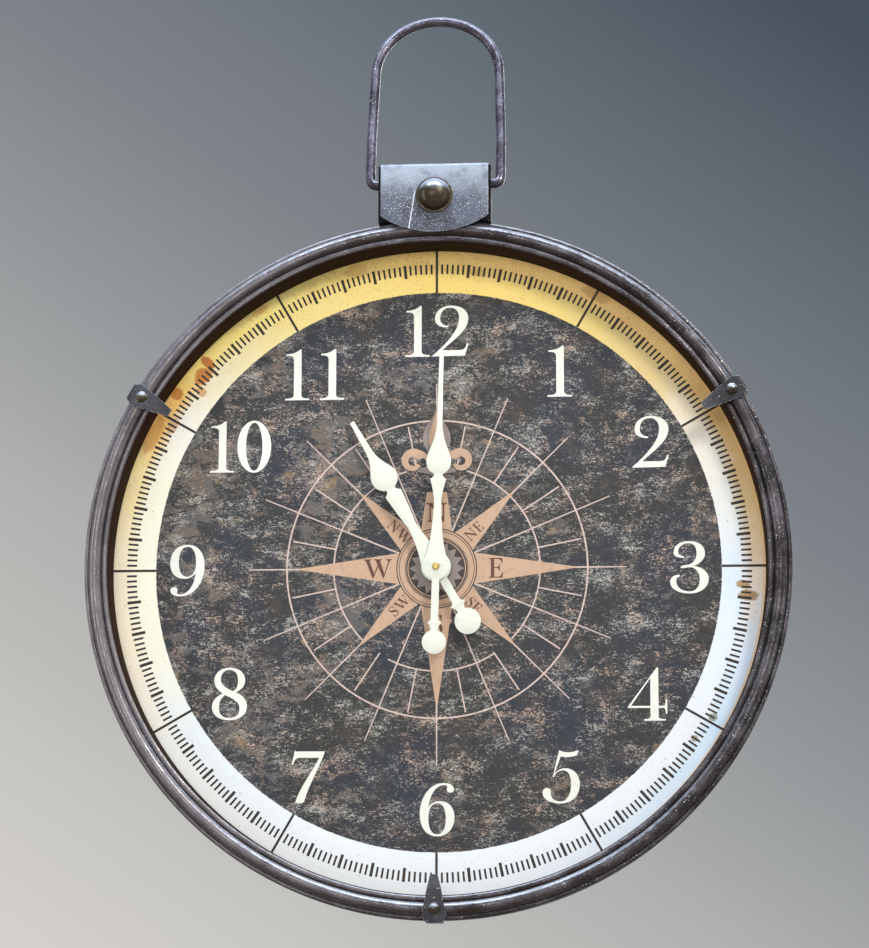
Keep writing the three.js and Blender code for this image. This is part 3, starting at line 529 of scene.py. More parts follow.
def cell_paint():
    """A shrink-wrapped dry cell: a dark body and a copper-coloured shoulder at one end."""
    paint = Paint("cell wrap", roughness=0.34, coat=0.3)
    body = paint.mix(paint.noise(4, 3), (58, 64, 70), (76, 84, 92))
    shoulder = paint.mix(paint.noise(4, 3), (176, 122, 70), (196, 142, 88))
    made = paint.mix(paint.step(paint.x, -15.2, -15.6), body, shoulder)
    metal = paint.maths("MAXIMUM", paint.step(paint.x, -23.7, -23.9), paint.step(paint.x, 24.5, 24.7))
    made = paint.mix(metal, made, (188, 190, 192))
    paint.links.new(metal, paint.shader.inputs["Metallic"])
    paint.bump(paint.noise(0.7, 2), 0.03, 0.4)
    return paint.finish(made)


def coil_paint():
    paint = Paint("coil copper", roughness=0.32, metallic=0.7)
    turns = paint.maths("SINE", paint.both(paint.x, 24.0))
    made = paint.mix(paint.step(turns, -1, 1), (120, 62, 34), (196, 124, 74))
    paint.bump(turns, 0.05, 0.8)
    return paint.finish(made)


MATERIAL = {
    "bezel_gunmetal": bezel_paint(),
    "band_black": band_paint(),
    "claw_steel": claw_paint(),
    "rivet_bronze": bronze_paint(),
    "saddle_steel": saddle_paint(),
    "bail_iron": bail_paint(),
    "dial_print": dial_paint(),
    "dial_fibreboard": fibreboard_paint(),
    "hand_cream": hand_paint(),
    "zinc": plain("zinc plate", (150, 154, 158), (182, 184, 182), 0.34, 0.85, 7.0),
    "brass": plain("brass", (176, 148, 84), (200, 172, 104), 0.30, 0.9, 4.0),
    "rubber_black": plain("rubber", (26, 26, 27), (40, 40, 41), 0.85, 0.0, 3.0, 0.08),
    "movement_black": plain("movement black", (30, 31, 33), (42, 43, 45), 0.52, 0.0, 3.0, 0.07),
    "movement_white": plain("movement white", (222, 220, 210), (236, 234, 226), 0.42, 0.0, 4.0),
    "cell_wrap": cell_paint(),
    "board_green": plain("board green", (30, 84, 58), (42, 100, 72), 0.4, 0.0, 2.0, coat=0.4),
    "coil_copper": coil_paint(),
    "magnet_dark": plain("magnet", (48, 50, 54), (70, 72, 76), 0.45, 0.5, 2.0),
}
INK = {
    "cream": ink("ink cream", (232, 231, 219), (194, 190, 178), 0.28),
    "tan": ink("ink tan", (194, 160, 132), (166, 138, 112), 0.55),
    "line": ink("ink line", (204, 182, 170), (156, 142, 134), 0.8),
    "grey": ink("ink grey tan", (142, 130, 122), (112, 104, 98), 0.5),
    "brown": ink("ink brown", (92, 56, 40), (120, 84, 64), 0.4),
    "dark": ink("ink dark", (58, 50, 48), (80, 70, 66), 0.4),
    "tick": ink("ink tick", (44, 34, 24), (92, 70, 44), 0.35),
}


# ---- Building pieces ----
def finish_mesh(made, crease):
    """Applies the piece's modifiers and shades it smooth, with corners sharper than crease kept."""
    if made.modifiers:
        graph = bpy.context.evaluated_depsgraph_get()
        mesh = bpy.data.meshes.new_from_object(made.evaluated_get(graph))
        made.modifiers.clear()
        made.data = mesh
    made.data.shade_smooth()
    made.data.set_sharp_from_angle(angle=math.radians(crease))


def piece(name, shape, node, material=None, replaces=True, place=DIAL, changes=(), crease=35):
    """Makes an object of a bmesh in the dial's millimetres. It rides with the node, and where replaces is true it
    hides the node and stands for it.
    """
    if not any(edge.is_boundary for edge in shape.edges):
        bmesh.ops.recalc_face_normals(shape, faces=shape.faces)
    mesh = bpy.data.meshes.new(name)
    shape.to_mesh(mesh)
    shape.free()
    mesh.transform(place)
    slot = SLOT[node]
    mesh.materials.append(material or MATERIAL[slot])
    made = bpy.data.objects.new(name, mesh)
    SCENE.collection.objects.link(made)
    for kind, settings in changes:
        modifier = made.modifiers.new(kind.lower(), kind)
        for key, value in settings.items():
            setattr(modifier, key, value)
    bpy.context.view_layer.update()
    finish_mesh(made, crease)
    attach(made, BODY[node])
    if replaces:
        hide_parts(node)


def bevel(width, segments, angle=30):
    """The modifier that rounds the edges sharper than an angle."""
    return ("BEVEL", {
        "width": width * MM,
        "segments": segments,
        "limit_method": "ANGLE",
        "angle_limit": math.radians(angle),
        "use_clamp_overlap": True,
    })


# folded sheet steel, thickened inwards from its outer face
PLATE_THICKNESS = ("SOLIDIFY", {"thickness": PLATE * MM, "offset": -1.0, "use_even_offset": True})


def clock_point(radius, clockwise):
    """The point at a radius, at a clockwise angle in degrees from twelve o'clock."""
    angle = math.radians(clockwise)
    return (radius * math.sin(angle), radius * math.cos(angle))


def clock_place(clockwise):
    """The dial's frame turned clockwise about the hands' axis, in degrees."""
    return DIAL @ Matrix.Rotation(-math.radians(clockwise), 4, "Z")


def arc(cx, cy, radius, start, end, steps):
    """Points of an arc round (cx, cy), in degrees, both ends included."""
    angles = [math.radians(start + (end - start) * i / steps) for i in range(steps + 1)]
    return [(cx + radius * math.cos(a), cy + radius * math.sin(a)) for a in angles]


def quadratic(p0, p1, p2, steps=10):
    """Points of a quadratic curve, without its first point."""
    made = []
    for i in range(1, steps + 1):
        t = i / steps
        a, b, c = (1 - t) ** 2, 2 * t * (1 - t), t * t
        made.append((a * p0[0] + b * p1[0] + c * p2[0], a * p0[1] + b * p1[1] + c * p2[1]))
    return made


def cubic(p0, p1, p2, p3, steps=12):
    """Points of a cubic curve, without its first point."""
    made = []
    for i in range(1, steps + 1):
        t = i / steps
        a, b, c, d = (1 - t) ** 3, 3 * t * (1 - t) ** 2, 3 * t * t * (1 - t), t ** 3
        made.append(tuple(a * p0[k] + b * p1[k] + c * p2[k] + d * p3[k] for k in (0, 1)))
    return made


def lathe(profile, sides, shape=None, at=(0, 0)):
    """A closed profile of (radius, z) turned round Z; a profile that ends on the axis is capped there."""
    shape = shape or bmesh.new()
    rings = []
    for radius, z in profile:
        if radius < 1e-6:
            rings.append([shape.verts.new((at[0], at[1], z))])
            continue
        ring = []
        for i in range(sides):
            angle = 2 * math.pi * i / sides
            x, y = at[0] + radius * math.sin(angle), at[1] + radius * math.cos(angle)
            ring.append(shape.verts.new((x, y, z)))
        rings.append(ring)
    closed = len(rings[0]) > 1
    pairs = list(zip(rings, rings[1:]))
    if closed:
        pairs.append((rings[-1], rings[0]))
    for first, second in pairs:
        for i in range(sides):
            j = (i + 1) % sides
            corners = [first[i % len(first)], first[j % len(first)]]
            corners += [second[j % len(second)], second[i % len(second)]]
            kept = [v for k, v in enumerate(corners) if v not in corners[:k]]
            if len(kept) > 2:
                shape.faces.new(kept)
    return shape


def rounded(points, radius):
    """The closed outline with every corner rounded by about that radius."""
    made = []
    count = len(points)
    for i, corner in enumerate(points):
        corner = Vector(corner)
        before = Vector(points[i - 1]) - corner
        after = Vector(points[(i + 1) % count]) - corner
        reach = min(radius, before.length * 0.45, after.length * 0.45)
        start = corner + before.normalized() * reach
        end = corner + after.normalized() * reach
        made.append(tuple(start))
        made += quadratic(start, corner, end, 4)
    return made


def prism(shape, loops, z0, z1):
    """Adds a flat outline with its holes, pushed from z0 to z1. The first loop is the outline."""
    rows = [[Vector((x, y, 0)) for x, y in loop] for loop in loops]
    corners = [point for row in rows for point in row]
    low = [shape.verts.new((p.x, p.y, z0)) for p in corners]
    high = [shape.verts.new((p.x, p.y, z1)) for p in corners]
    for a, b, c in geometry.tessellate_polygon(rows):
        shape.faces.new((low[a], low[b], low[c]))
        shape.faces.new((high[c], high[b], high[a]))
    start = 0
    for row in rows:
        for i in range(len(row)):
            j = start + (i + 1) % len(row)
            shape.faces.new((low[start + i], low[j], high[j], high[start + i]))
        start += len(row)
    return shape


def turned_outline(points, clockwise, at=(0, 0)):
    """The outline turned clockwise about the origin, then moved."""
    angle = -math.radians(clockwise)
    c, s = math.cos(angle), math.sin(angle)
    return [(at[0] + c * x - s * y, at[1] + s * x + c * y) for x, y in points]


def sheet(rows):
    """A grid of points made into a surface."""
    shape = bmesh.new()
    grid = [[shape.verts.new(point) for point in row] for row in rows]
    for low, high in zip(grid, grid[1:]):
        for i in range(len(low) - 1):
            shape.faces.new((low[i], low[i + 1], high[i + 1], high[i]))
    return shape


def swept(points, radius, sides):
    """A round wire along the points, with flat ends."""
    shape = bmesh.new()
    points = [Vector(p) for p in points]
    rings = []
    normal = None
    for i, point in enumerate(points):
        ahead = points[min(i + 1, len(points) - 1)] - points[max(i - 1, 0)]
        ahead.normalize()
        if normal is None:
            normal = ahead.orthogonal().normalized()
        normal = (normal - ahead * normal.dot(ahead)).normalized()
        side = ahead.cross(normal)
        ring = []
        for k in range(sides):
            angle = 2 * math.pi * k / sides
            outward = math.cos(angle) * normal + math.sin(angle) * side
            ring.append(shape.verts.new(point + radius * outward))
        rings.append(ring)
    for low, high in zip(rings, rings[1:]):
        for k in range(sides):
            j = (k + 1) % sides
            shape.faces.new((low[k], low[j], high[j], high[k]))
    shape.faces.new(rings[0][::-1])
    shape.faces.new(rings[-1])
    return shape


def flatten(shape, degrees):
    """Joins neighbouring faces that lie within that angle of one plane."""
    angle = math.radians(degrees)
    bmesh.ops.dissolve_limit(shape, angle_limit=angle, verts=shape.verts, edges=shape.edges)


def refined(node, width, segments=2):
    """The CAD node's own shape with its flat faces made whole and its edges rounded."""
    shape = bmesh.new()
    shape.from_mesh(frame["nodes"][node].data)
    bmesh.ops.remove_doubles(shape, verts=shape.verts, dist=0.002 * MM)
    flatten(shape, 1)
    piece(f"{node}_shaped", shape, node, place=Matrix.Identity(4), changes=[bevel(width, segments)])


# ---- Case ----
def roll_over(roll, thickness, steps):
    """The bead's half circle, inset by a thickness, from its outer side to its inner side."""
    return arc(roll["r"], roll["z"], roll["radius"] - thickness, 0, 180, steps)


def build_bezel():
    skirt = 16
    valley = LIP["z"] - SHEET
    inner_valley = 26
    hem = 0.5
    front = [
        (CASE_RADIUS - hem * 0.3, skirt),
        (CASE_RADIUS, skirt + hem),
        *roll_over(LIP, 0, 12),
        *roll_over(BEAD, 0, 24),
        *roll_over(INNER_BEAD, 0, 16),
        (WALL_RADIUS, GAP),
    ]
    back = [
        (WALL_RADIUS + SHEET, GAP),
        (WALL_RADIUS + SHEET, inner_valley),
        (BEAD["r"] - BEAD["radius"] + SHEET, inner_valley),
        *reversed(roll_over(BEAD, SHEET, 12)),
        (BEAD["r"] + BEAD["radius"] - SHEET, valley),
        (CASE_RADIUS - SHEET, valley),
        (CASE_RADIUS - SHEET, skirt),
    ]
    piece("bezel_ring_rolled", lathe(front + back, 288), "bezel_ring", crease=50)


def build_band():
    outer = CASE_RADIUS - SHEET - GAP
    inner = outer - SHEET
    back = -(BACK - 2.2)
    bend = 2.2
    profile = [
        (279, back),
        *arc(outer - bend, back + bend, bend, 270, 360, 6),
        (outer, 21),
        (inner, 21),
        *arc(inner - 1, back + SHEET + 1, 1, 360, 270, 4),
        (279, back + SHEET),
    ]
    piece("case_band_rolled", lathe(profile, 256), "case_band", crease=40)


def claw_half_width(length, height, bend_at):
    """Half the strap's width: a narrow tip that widens to the bend, then tapers down the side."""
    if height < 15:
        return 5.8
    if length < 0.1:
        return 3.2
    if length <= bend_at:
        return 4 + (10 - 4) * length / bend_at
    return 10 - 3 * min(1, (length - bend_at) / 5.5)


def build_claws():
    """Each claw is a strap over the bezel with its leg bent down the side."""
    outside = CASE_RADIUS + GAP + PLATE
    top = RECESS + GAP + PLATE
    bend = 1.7
    tip, shoulder = 262, 296
    path = [(tip, top), (275, top), (288, top), (shoulder, top)]
    path += arc(outside - bend, top - bend, bend, 90, 0, 6)
    path += [(outside, height) for height in (28, 21, 15.5, 14)]
    lengths = [0.0]
    for (r0, h0), (r1, h1) in zip(path, path[1:]):
        lengths.append(lengths[-1] + math.hypot(r1 - r0, h1 - h0))
    columns = 8
    rows = []
    for (r, h), length in zip(path, lengths):
        half = claw_half_width(length, h, shoulder - tip)
        rows.append([(half * (2 * k / columns - 1), r, h) for k in range(columns + 1)])
    for name, clockwise in CLAW_ANGLES.items():
        changes = [PLATE_THICKNESS, bevel(0.35, 2)]
        place = clock_place(clockwise)
        piece(f"claw_{name}_strap", sheet(rows), f"claw_{name}", place=place, changes=changes)
        build_claw_rivet(name, clockwise)


def build_claw_rivet(name, clockwise):
    seat = RECESS + GAP + PLATE + GAP
    head, height = 4.8, 3.4
    profile = [(0, BEAD["z"] + 1), (2, BEAD["z"] + 1), (2, seat)]
    profile += [(head - 0.25, seat), (head, seat + 0.25), (head, seat + 0.75), (head - 0.5, seat + 1.05)]
    dome = arc(0, 0, 1, 8, 84, 10)
    profile += [((head - 0.7) * x, seat + 0.75 + (height - 0.75) * y) for x, y in dome]
    # a small nipple stands on the dome
    profile += [(r, seat + height + rise) for r, rise in ((0.9, 0.25), (0.8, 0.6), (0.5, 0.85), (0, 0.9))]
    at = clock_point(BEAD["r"], clockwise)
    piece(f"claw_rivet_{name}_turned", lathe(profile, 40, at=at), f"claw_rivet_{name}")


# ---- Saddle and neck ----
def build_saddle():
    """A plate with a curved lower edge, folded back over the neck box and down behind it."""
    half, top, corner_y, middle_y = 46.4, 348, 301.5, 287
    front, back, bend = SADDLE_FRONT, 6.4, 3.0
    drop = corner_y - middle_y
    sweep = (half * half + drop * drop) / (2 * drop)
    ring = 302.4  # the back's lower edge follows the case

    def lower(x):
        return middle_y + sweep - math.sqrt(sweep * sweep - x * x)

    def behind(x):
        return max(lower(x), math.sqrt(ring * ring - x * x))

    columns, steps = 36, 10
    xs = [half * (2 * k / columns - 1) for k in range(columns + 1)]
    rows = []
    for i in range(steps + 1):
        rows.append([(x, lower(x) + (top - bend - lower(x)) * i / steps, front) for x in xs])
    for y, h in arc(top - bend, front - bend, bend, 90, 0, 6)[1:]:
        rows.append([(x, y, h) for x in xs])
    for y, h in arc(top - bend, back + bend, bend, 0, -90, 6):
        rows.append([(x, y, h) for x in xs])
    for i in range(1, steps + 1):
        rows.append([(x, top - bend + (behind(x) - top + bend) * i / steps, back) for x in xs])
    piece("saddle_folded", sheet(rows), "saddle", changes=[PLATE_THICKNESS, bevel(0.45, 2)])


def build_dome():
    seat = 38.4
    radius, height = 14, 11
    profile = [(0, -1.7), (3.4, -1.7), (4, -1.1), (4, seat), (radius - 0.5, seat), (radius, seat + 0.5)]
    profile += [(radius * x, seat + height * y) for x, y in arc(0, 0, 1, 6, 88, 22)]
    profile += [(0, seat + height)]
    piece("dome_bolt_turned", lathe(profile, 64, at=(0, BOLT_Y)), "dome_bolt", crease=50)
    washer = rounded([(15.9, 36.9), (15.9, 38.1), (4.3, 38.1), (4.3, 36.9)], 0.45)
    piece("dome_washer_turned", lathe(washer, 64, at=(0, BOLT_Y)), "dome_washer", crease=50)
    refined("dome_nut", 0.4)


def build_neck():
    refined("neck_box", 0.8, 3)
    for side in ("left", "right"):
        node = f"neck_screw_{side}"
        x = 28 if side == "right" else -28
        profile = [(0, 287.1), (2.6, 287.15), (4.2, 287.9), (4.6, 288.9), (4.6, 290.5), (2.5, 290.5)]
        profile += [(2.5, 305), (1.5, 307), (0, 307)]
        shape = lathe(profile, 32)
        place = DIAL @ Matrix.Translation((x, 0, 12)) @ Matrix.Rotation(-math.pi / 2, 4, "X")
        piece(f"{node}_turned", shape, node, place=place)


# ---- Bail ----
def bail_path():
    """The bail's centreline in its own plane, from one foot's end to the other."""
    arch_y = BAIL_REACH - BAIL_ARCH
    leg = 56.4
    pull = BAIL_ARCH * 0.5523  # makes a cubic a quarter of a circle
    right = [(38, 0), (44, 0), (50.5, 0)]
    right += quadratic((50.5, 0), (54.6, 0.2), (55.6, 3.4), 8)
    right += quadratic((55.6, 3.4), (leg, 5.6), (leg, 9), 6)
    right += [(leg, 9 + 6 * i) for i in range(1, 7)]
    right += [(leg + (BAIL_ARCH - leg) * i / 10, 45 + (arch_y - 45) * i / 10) for i in range(1, 11)]
    right += cubic((BAIL_ARCH, arch_y), (BAIL_ARCH, arch_y + pull), (pull, BAIL_REACH), (0, BAIL_REACH), 28)
    left = [(-x, y) for x, y in reversed(right[:-1])]
    return right + left


def build_bail():
    """The bail leans back as far as the wall."""
    lean = math.asin((BAIL_PIVOT[2] + BACK - BAIL_WIRE - GAP) / BAIL_REACH)
    place = DIAL @ Matrix.Translation(BAIL_PIVOT) @ Matrix.Rotation(-lean, 4, "X")
    shape = swept([(x, y, 0) for x, y in bail_path()], BAIL_WIRE, 28)
    piece("bail_wire", shape, "bail", place=place, changes=[bevel(0.5, 2, 60)], crease=45)


# ---- Dial print ----
def outline_of(path):
    """The loops of an outline written as M, L, C and Z commands."""
    loops = []
    words = path.split()
    i = 0
    while i < len(words):
        command = words[i][0]
        if command == "Z":
            i += 1
            continue
        count = {"M": 1, "L": 1, "C": 3}[command]
        numbers = [float(word.lstrip("MLC")) for word in words[i:i + 2 * count]]
        i += 2 * count
        points = list(zip(numbers[0::2], numbers[1::2]))
        if command == "M":
            loops.append([points[0]])
        elif command == "L":
            loops[-1].append(points[0])
        else:
            loops[-1] += cubic(loops[-1][-1], *points, steps=8)
    return loops


def ellipse(cx, cy, rx, ry, steps=40):
    return [(cx + rx * x, cy + ry * y) for x, y in arc(0, 0, 1, 0, 360, steps)[:-1]]


# Numerals and letters in a high-contrast serif style, 100 units high.
GLYPHS = {
    "0": [ellipse(31, 50, 31, 51), ellipse(31, 50, 15, 47)],
    "1": "M0 0 L45 0 L45 3 C34 3 30 5 30 11 L30 100 L27 100 C21 94 13 91 2 91 L2 88 "
         "C12 88 16 86 16 79 L16 11 C16 5 11 3 0 3 Z",
    "2": "M0 0 L56 1 L62 24 L59 24 C57 15 54 12 46 12 L17 12 C30 28 62 48 62 74 C62 90 50 100 32 100 "
         "C14 100 4 88 4 74 C4 64 12 57 26 57 L28 60 C18 60 13 66 13 75 C13 87 20 96 30 96 "
         "C40 96 46 88 46 74 C46 52 24 24 0 2 Z",
    "3": "M7 78 C7 92 18 100 35 100 C52 100 63 91 63 76 C63 64 52 56 42 53 C56 50 69 42 69 28 "
         "C69 11 54 0 36 0 C16 0 0 8 0 22 C0 30 6 36 17 36 L18 33 C12 32 11 28 11 24 "
         "C11 11 22 4 35 4 C47 4 53 14 53 28 C53 41 45 50 36 50 C28 50 20 46 19 50 "
         "C19 54 28 54 33 55 C42 57 48 66 48 77 C48 90 42 96 33 96 C22 96 15 88 15 80 "
         "C15 73 20 72 26 71 L25 68 C14 68 7 71 7 78 Z",
    "4": "M0 26 L54 100 L57 100 L57 28 L66 28 C69 28 70 32 70 40 L73 40 L73 13 L70 13 "
         "C70 20 69 24 66 24 L57 24 L57 8 C57 4 62 3 70 3 L70 0 L30 0 L30 3 C38 3 42 4 42 8 "
         "L42 24 L0 24 Z M6 28 L42 28 L42 80 Z",
    "5": "M31 100 C45 93 58 96 68 100 L64 90 C52 86 44 86 34 88 L22 56 C30 64 36 66 42 66 "
         "C58 66 69 54 69 36 C69 14 54 0 34 0 C14 0 0 8 0 20 C0 26 4 29 8 29 C13 29 16 26 15 20 "
         "C14 10 22 4 33 4 C46 4 53 18 53 36 C53 52 48 62 38 62 C30 62 24 57 21 49 L19 50 Z",
    "6": "M63 88 C63 95 56 100 44 100 C16 100 0 70 0 42 C0 14 14 0 32 0 C52 0 64 16 64 36 "
         "C64 54 53 66 38 66 C28 66 20 62 16 54 C18 76 28 95 44 96 C50 96 52 94 50 90 "
         "C48 84 54 81 58 82 C61 83 63 85 63 88 Z "
         "M32 62 C44 62 48 48 48 34 C48 18 44 4 32 4 C20 4 16 18 16 34 C16 50 20 62 32 62 Z",
    "7": "M8 98 L63 98 C54 70 34 38 24 3 C22 -1 8 -1 8 4 C16 30 40 60 52 86 L16 86 "
         "C9 86 5 82 3 73 L0 73 L6 100 Z",
    "8": "M32 100 C50 100 61 90 61 76 C61 64 54 58 44 53 C56 48 65 40 65 26 C65 10 52 0 32 0 "
         "C13 0 0 10 0 25 C0 38 9 46 20 51 C10 57 4 65 4 76 C4 90 15 100 32 100 Z "
         "M32 96 C42 96 48 88 48 76 C48 66 46 60 39 55 C24 62 16 68 16 78 C16 88 22 96 32 96 Z "
         "M32 4 C46 4 51 12 51 22 C51 34 42 40 24 48 C16 42 13 34 13 24 C13 12 20 4 32 4 Z",
    "E": "M0 0 L66 0 L70 30 L66 30 C62 12 54 5 40 5 L27 5 L27 49 L36 49 C46 49 49 44 50 34 L54 34 "
         "L54 68 L50 68 C49 58 46 54 36 54 L27 54 L27 95 L40 95 C52 95 60 88 63 74 L67 74 L65 100 "
         "L0 100 L0 96 C8 96 11 94 11 87 L11 13 C11 6 8 4 0 4 Z",
    "W": "M0 100 L42 100 L42 96 C33 96 30 93 33 85 L54 25 L70 68 L65 85 C62 94 58 96 52 96 L52 100 "
         "L94 100 L94 96 C84 96 82 93 85 85 L104 25 L122 82 C125 92 120 96 112 96 L112 100 L142 100 "
         "L142 96 C136 96 132 93 129 85 L101 0 L97 0 L74 60 L50 0 L46 0 L14 85 C11 94 7 96 0 96 Z",
    "N": "M0 100 L30 100 L83 28 L83 84 C83 93 79 96 68 96 L68 100 L104 100 L104 96 C94 96 90 93 90 84 "
         "L90 -2 L86 -2 L22 84 L22 16 C22 7 26 4 37 4 L37 0 L1 0 L1 4 C11 4 15 7 15 16 L15 90 "
         "C12 94 8 96 0 96 Z",
    "S": "M4 32 L8 32 C10 14 20 4 32 4 C43 4 50 11 50 21 C50 31 42 37 30 43 C13 51 6 60 6 74 "
         "C6 90 18 102 34 102 C42 102 46 97 50 97 C53 97 54 99 55 102 L58 102 L58 71 L54 71 "
         "C52 87 44 97 34 97 C24 97 17 91 17 82 C17 73 24 68 36 62 C54 53 62 44 62 29 "
         "C62 12 50 -2 32 -2 C22 -2 17 4 13 4 C10 4 8 1 7 -2 L4 -2 Z",
}


def glyph(character):
    """The loops of a numeral or letter."""
    if character == "9":
        six = glyph("6")
        return [[(64 - x, 100 - y) for x, y in loop] for loop in six]
    made = GLYPHS[character]
    return outline_of(made) if isinstance(made, str) else made


def write(shape, text, centre, height, z, widths=None, gap=0.05, clockwise=0, bold=1.0):
    """Adds the text's letters as thin raised ink, centred on a point."""
    scale = height / 100
    placed = []
    pen = 0.0
    for character in text:
        loops = glyph(character)
        xs = [x for x, _ in loops[0]]
        stretch = widths[character] / (max(xs) - min(xs)) / scale if widths else bold
        left = min(xs)
        across = scale * stretch
        placed.append([[(pen + (x - left) * across, y * scale) for x, y in loop] for loop in loops])
        pen += (max(xs) - left) * across + gap * height
    pen -= gap * height
    for loops in placed:
        moved = [[(x - pen / 2, y - height / 2) for x, y in loop] for loop in loops]
        prism(shape, [turned_outline(loop, clockwise, centre) for loop in moved], INK_BASE, z)


NUMERAL_HEIGHT = 45.0
NUMERAL_WIDTHS = {
    "0": 29.5, "1": 21.2, "2": 31, "3": 32.6, "4": 33.2,
    "5": 31.2, "6": 29.4, "7": 28.4, "8": 30.2, "9": 30,
}
# Where each hour's numeral is centred; they don't quite keep to one circle
NUMERAL_CENTRES = {
    1: (106, 171), 2: (183, 108), 3: (214.5, -1), 4: (178, -109), 5: (105, -178.5), 6: (0.5, -206),
    7: (-109, -178), 8: (-177, -107), 9: (-215, 0), 10: (-170, 108), 11: (-106, 171), 12: (0, 208),
}


def printed(shape, outline, z):
    """Adds one outline to a layer of ink whose face is at z."""
    prism(shape, [outline], INK_BASE, z)


def ink_piece(name, shape, colour):
    """A thin layer of ink on the dial; it is a piece of its own and stands for nothing."""
    piece(name, shape, "dial_face", material=INK[colour], replaces=False)


def build_numerals():
    shape = bmesh.new()
    for hour, centre in NUMERAL_CENTRES.items():
        gap = 0.2 if hour == 11 else 0.055
        write(shape, str(hour), centre, NUMERAL_HEIGHT, 0.10, NUMERAL_WIDTHS, gap=gap)
    ink_piece("numerals", shape, "cream")


def bar_outline(inner, outer, width, clockwise, tip=None):
    """A straight mark from one radius to another."""
    half = width / 2
    end = half if tip is None else tip / 2
    return turned_outline([(-half, inner), (half, inner), (end, outer), (-end, outer)], clockwise)


def build_chapter_ring():
    ticks = bmesh.new()
    for degree in range(360):
        if degree % 30 == 0:
            printed(ticks, bar_outline(CHAPTER_RADIUS, WALL_RADIUS + 1, 2.1, degree), 0.07)
        elif degree % 6 == 0:
            printed(ticks, bar_outline(256.2, 268, 2.5, degree), 0.06)
        else:
            printed(ticks, bar_outline(258.8, 267.4, 1.75, degree), 0.06)
    ink_piece("chapter_ticks", ticks, "tick")


def ring_section(inner, outer, start, end, steps):
    """A band between two radii, from one clockwise angle to another."""
    clock = [start + (end - start) * i / steps for i in range(steps + 1)]
    outside = [clock_point(outer, angle) for angle in clock]
    return outside + [clock_point(inner, angle) for angle in reversed(clock)]


def ring_layer(shape, inner, outer, z, sides=120):
    """Adds a printed ring whose face is at z, or a printed disc if inner is 0."""
    lathe([(inner, INK_BASE), (outer, INK_BASE), (outer, z), (inner, z)], sides, shape)


def build_rose():
    """The compass rose: circles and rays, eight points, the centre medallion and the letters."""
    lines = bmesh.new()
    width = 1.35
    ring_layer(lines, 128.0, 129.4, 0.05, 180)
    for start, end in ((17, 134), (146, 208), (224, 343)):
        printed(lines, ring_section(87.6, 88.9, start, end, 60), 0.052)
    for k in range(16):
        angle = 22.5 * k
        if k % 2:
            printed(lines, bar_outline(34.5, 160, width, angle, 0.9), 0.054)
        elif k % 4:
            printed(lines, bar_outline(80, 159, width, angle, 0.9), 0.056)
        else:
            reach = 169 if k == 8 else 161.5
            printed(lines, bar_outline(100, reach, 1.6, angle, 0.9), 0.058)
        printed(lines, bar_outline(87.4, 126, 1.2, angle + 11.25), 0.048)
    ink_piece("rose_lines", lines, "line")

    points = bmesh.new()
    for k in range(8):
        angle = 45 * k
        if k % 2:
            outline = [(-11.2, 30), (11.2, 30), (0.7, 92), (-0.7, 92)]
        elif k == 0:
            outline = [(-13.6, 30), (13.6, 30), (8.5, 67), (-8.5, 67)]
        else:
            outline = [(-13.6, 31), (13.6, 31), (0.6, 118), (-0.6, 118)]
        printed(points, turned_outline(outline, angle), 0.07 + 0.002 * k)
    ring_layer(points, 26.2, 34.4, 0.10)
    ring_layer(points, 24.2, 25.0, 0.13)
    ink_piece("rose_points", points, "tan")

    dark = bmesh.new()
    for inner, outer in ((33.7, 34.6), (31.8, 32.4), (26.6, 27.2)):
        ring_layer(dark, inner, outer, 0.115)
    ring_layer(dark, 0, 26.2, 0.11, 96)
    printed(dark, [(-8.7, 66.2), (8.7, 66.2), (8.4, 68.6), (-8.4, 68.6)], 0.08)
    for k in range(7):
        left = -9.0 + 2.65 * k
        printed(dark, [(left, 56.2), (left + 1.7, 56.2), (left + 1.7, 57.0), (left, 57.0)], 0.08)
    ink_piece("rose_dark", dark, "dark")

    star = bmesh.new()
    corners = [clock_point(18.0 if k % 2 else 23.6, 11.25 * k) for k in range(32)]
    prism(star, [corners, ellipse(0, 0, 12.5, 12.5)], INK_BASE, 0.125)
    ink_piece("rose_star", star, "grey")

    brown = bmesh.new()
    ring_layer(brown, 10.8, 12.8, 0.14, 64)
    letters = (("N", 0, 48.4, 16), ("E", 90, 50.6, 17), ("S", 180, 48.4, 16.5), ("W", 270, 50.6, 16.5))
    for text, clockwise, radius, height in letters:
        write(brown, text, clock_point(radius, clockwise), height, 0.12, bold=1.05)
    for text, clockwise, tilt in (("NE", 45, -45), ("SE", 135, 45), ("SW", 225, -45), ("NW", 315, 45)):
        write(brown, text, clock_point(45, clockwise), 9.2, 0.12, gap=0.12, clockwise=tilt)
    ink_piece("rose_letters", brown, "brown")


def mirrored(points):
    """The outline closed by its own mirror image in the Y axis."""
    return points + [(-x, y) for x, y in reversed(points) if abs(x) > 1e-6]


def spiral(centre, start_radius, end_radius, start, end, width, steps):
    """A band that winds inwards, as an outline."""
    outer, inner = [], []
    for i in range(steps + 1):
        share = i / steps
        angle = math.radians(start + (end - start) * share)
        radius = start_radius + (end_radius - start_radius) * share
        half = width * (1 - 0.6 * share) / 2
        for side, reach in ((outer, radius + half), (inner, radius - half)):
            side.append((centre[0] + reach * math.cos(angle), centre[1] + reach * math.sin(angle)))
    return outer + inner[::-1]


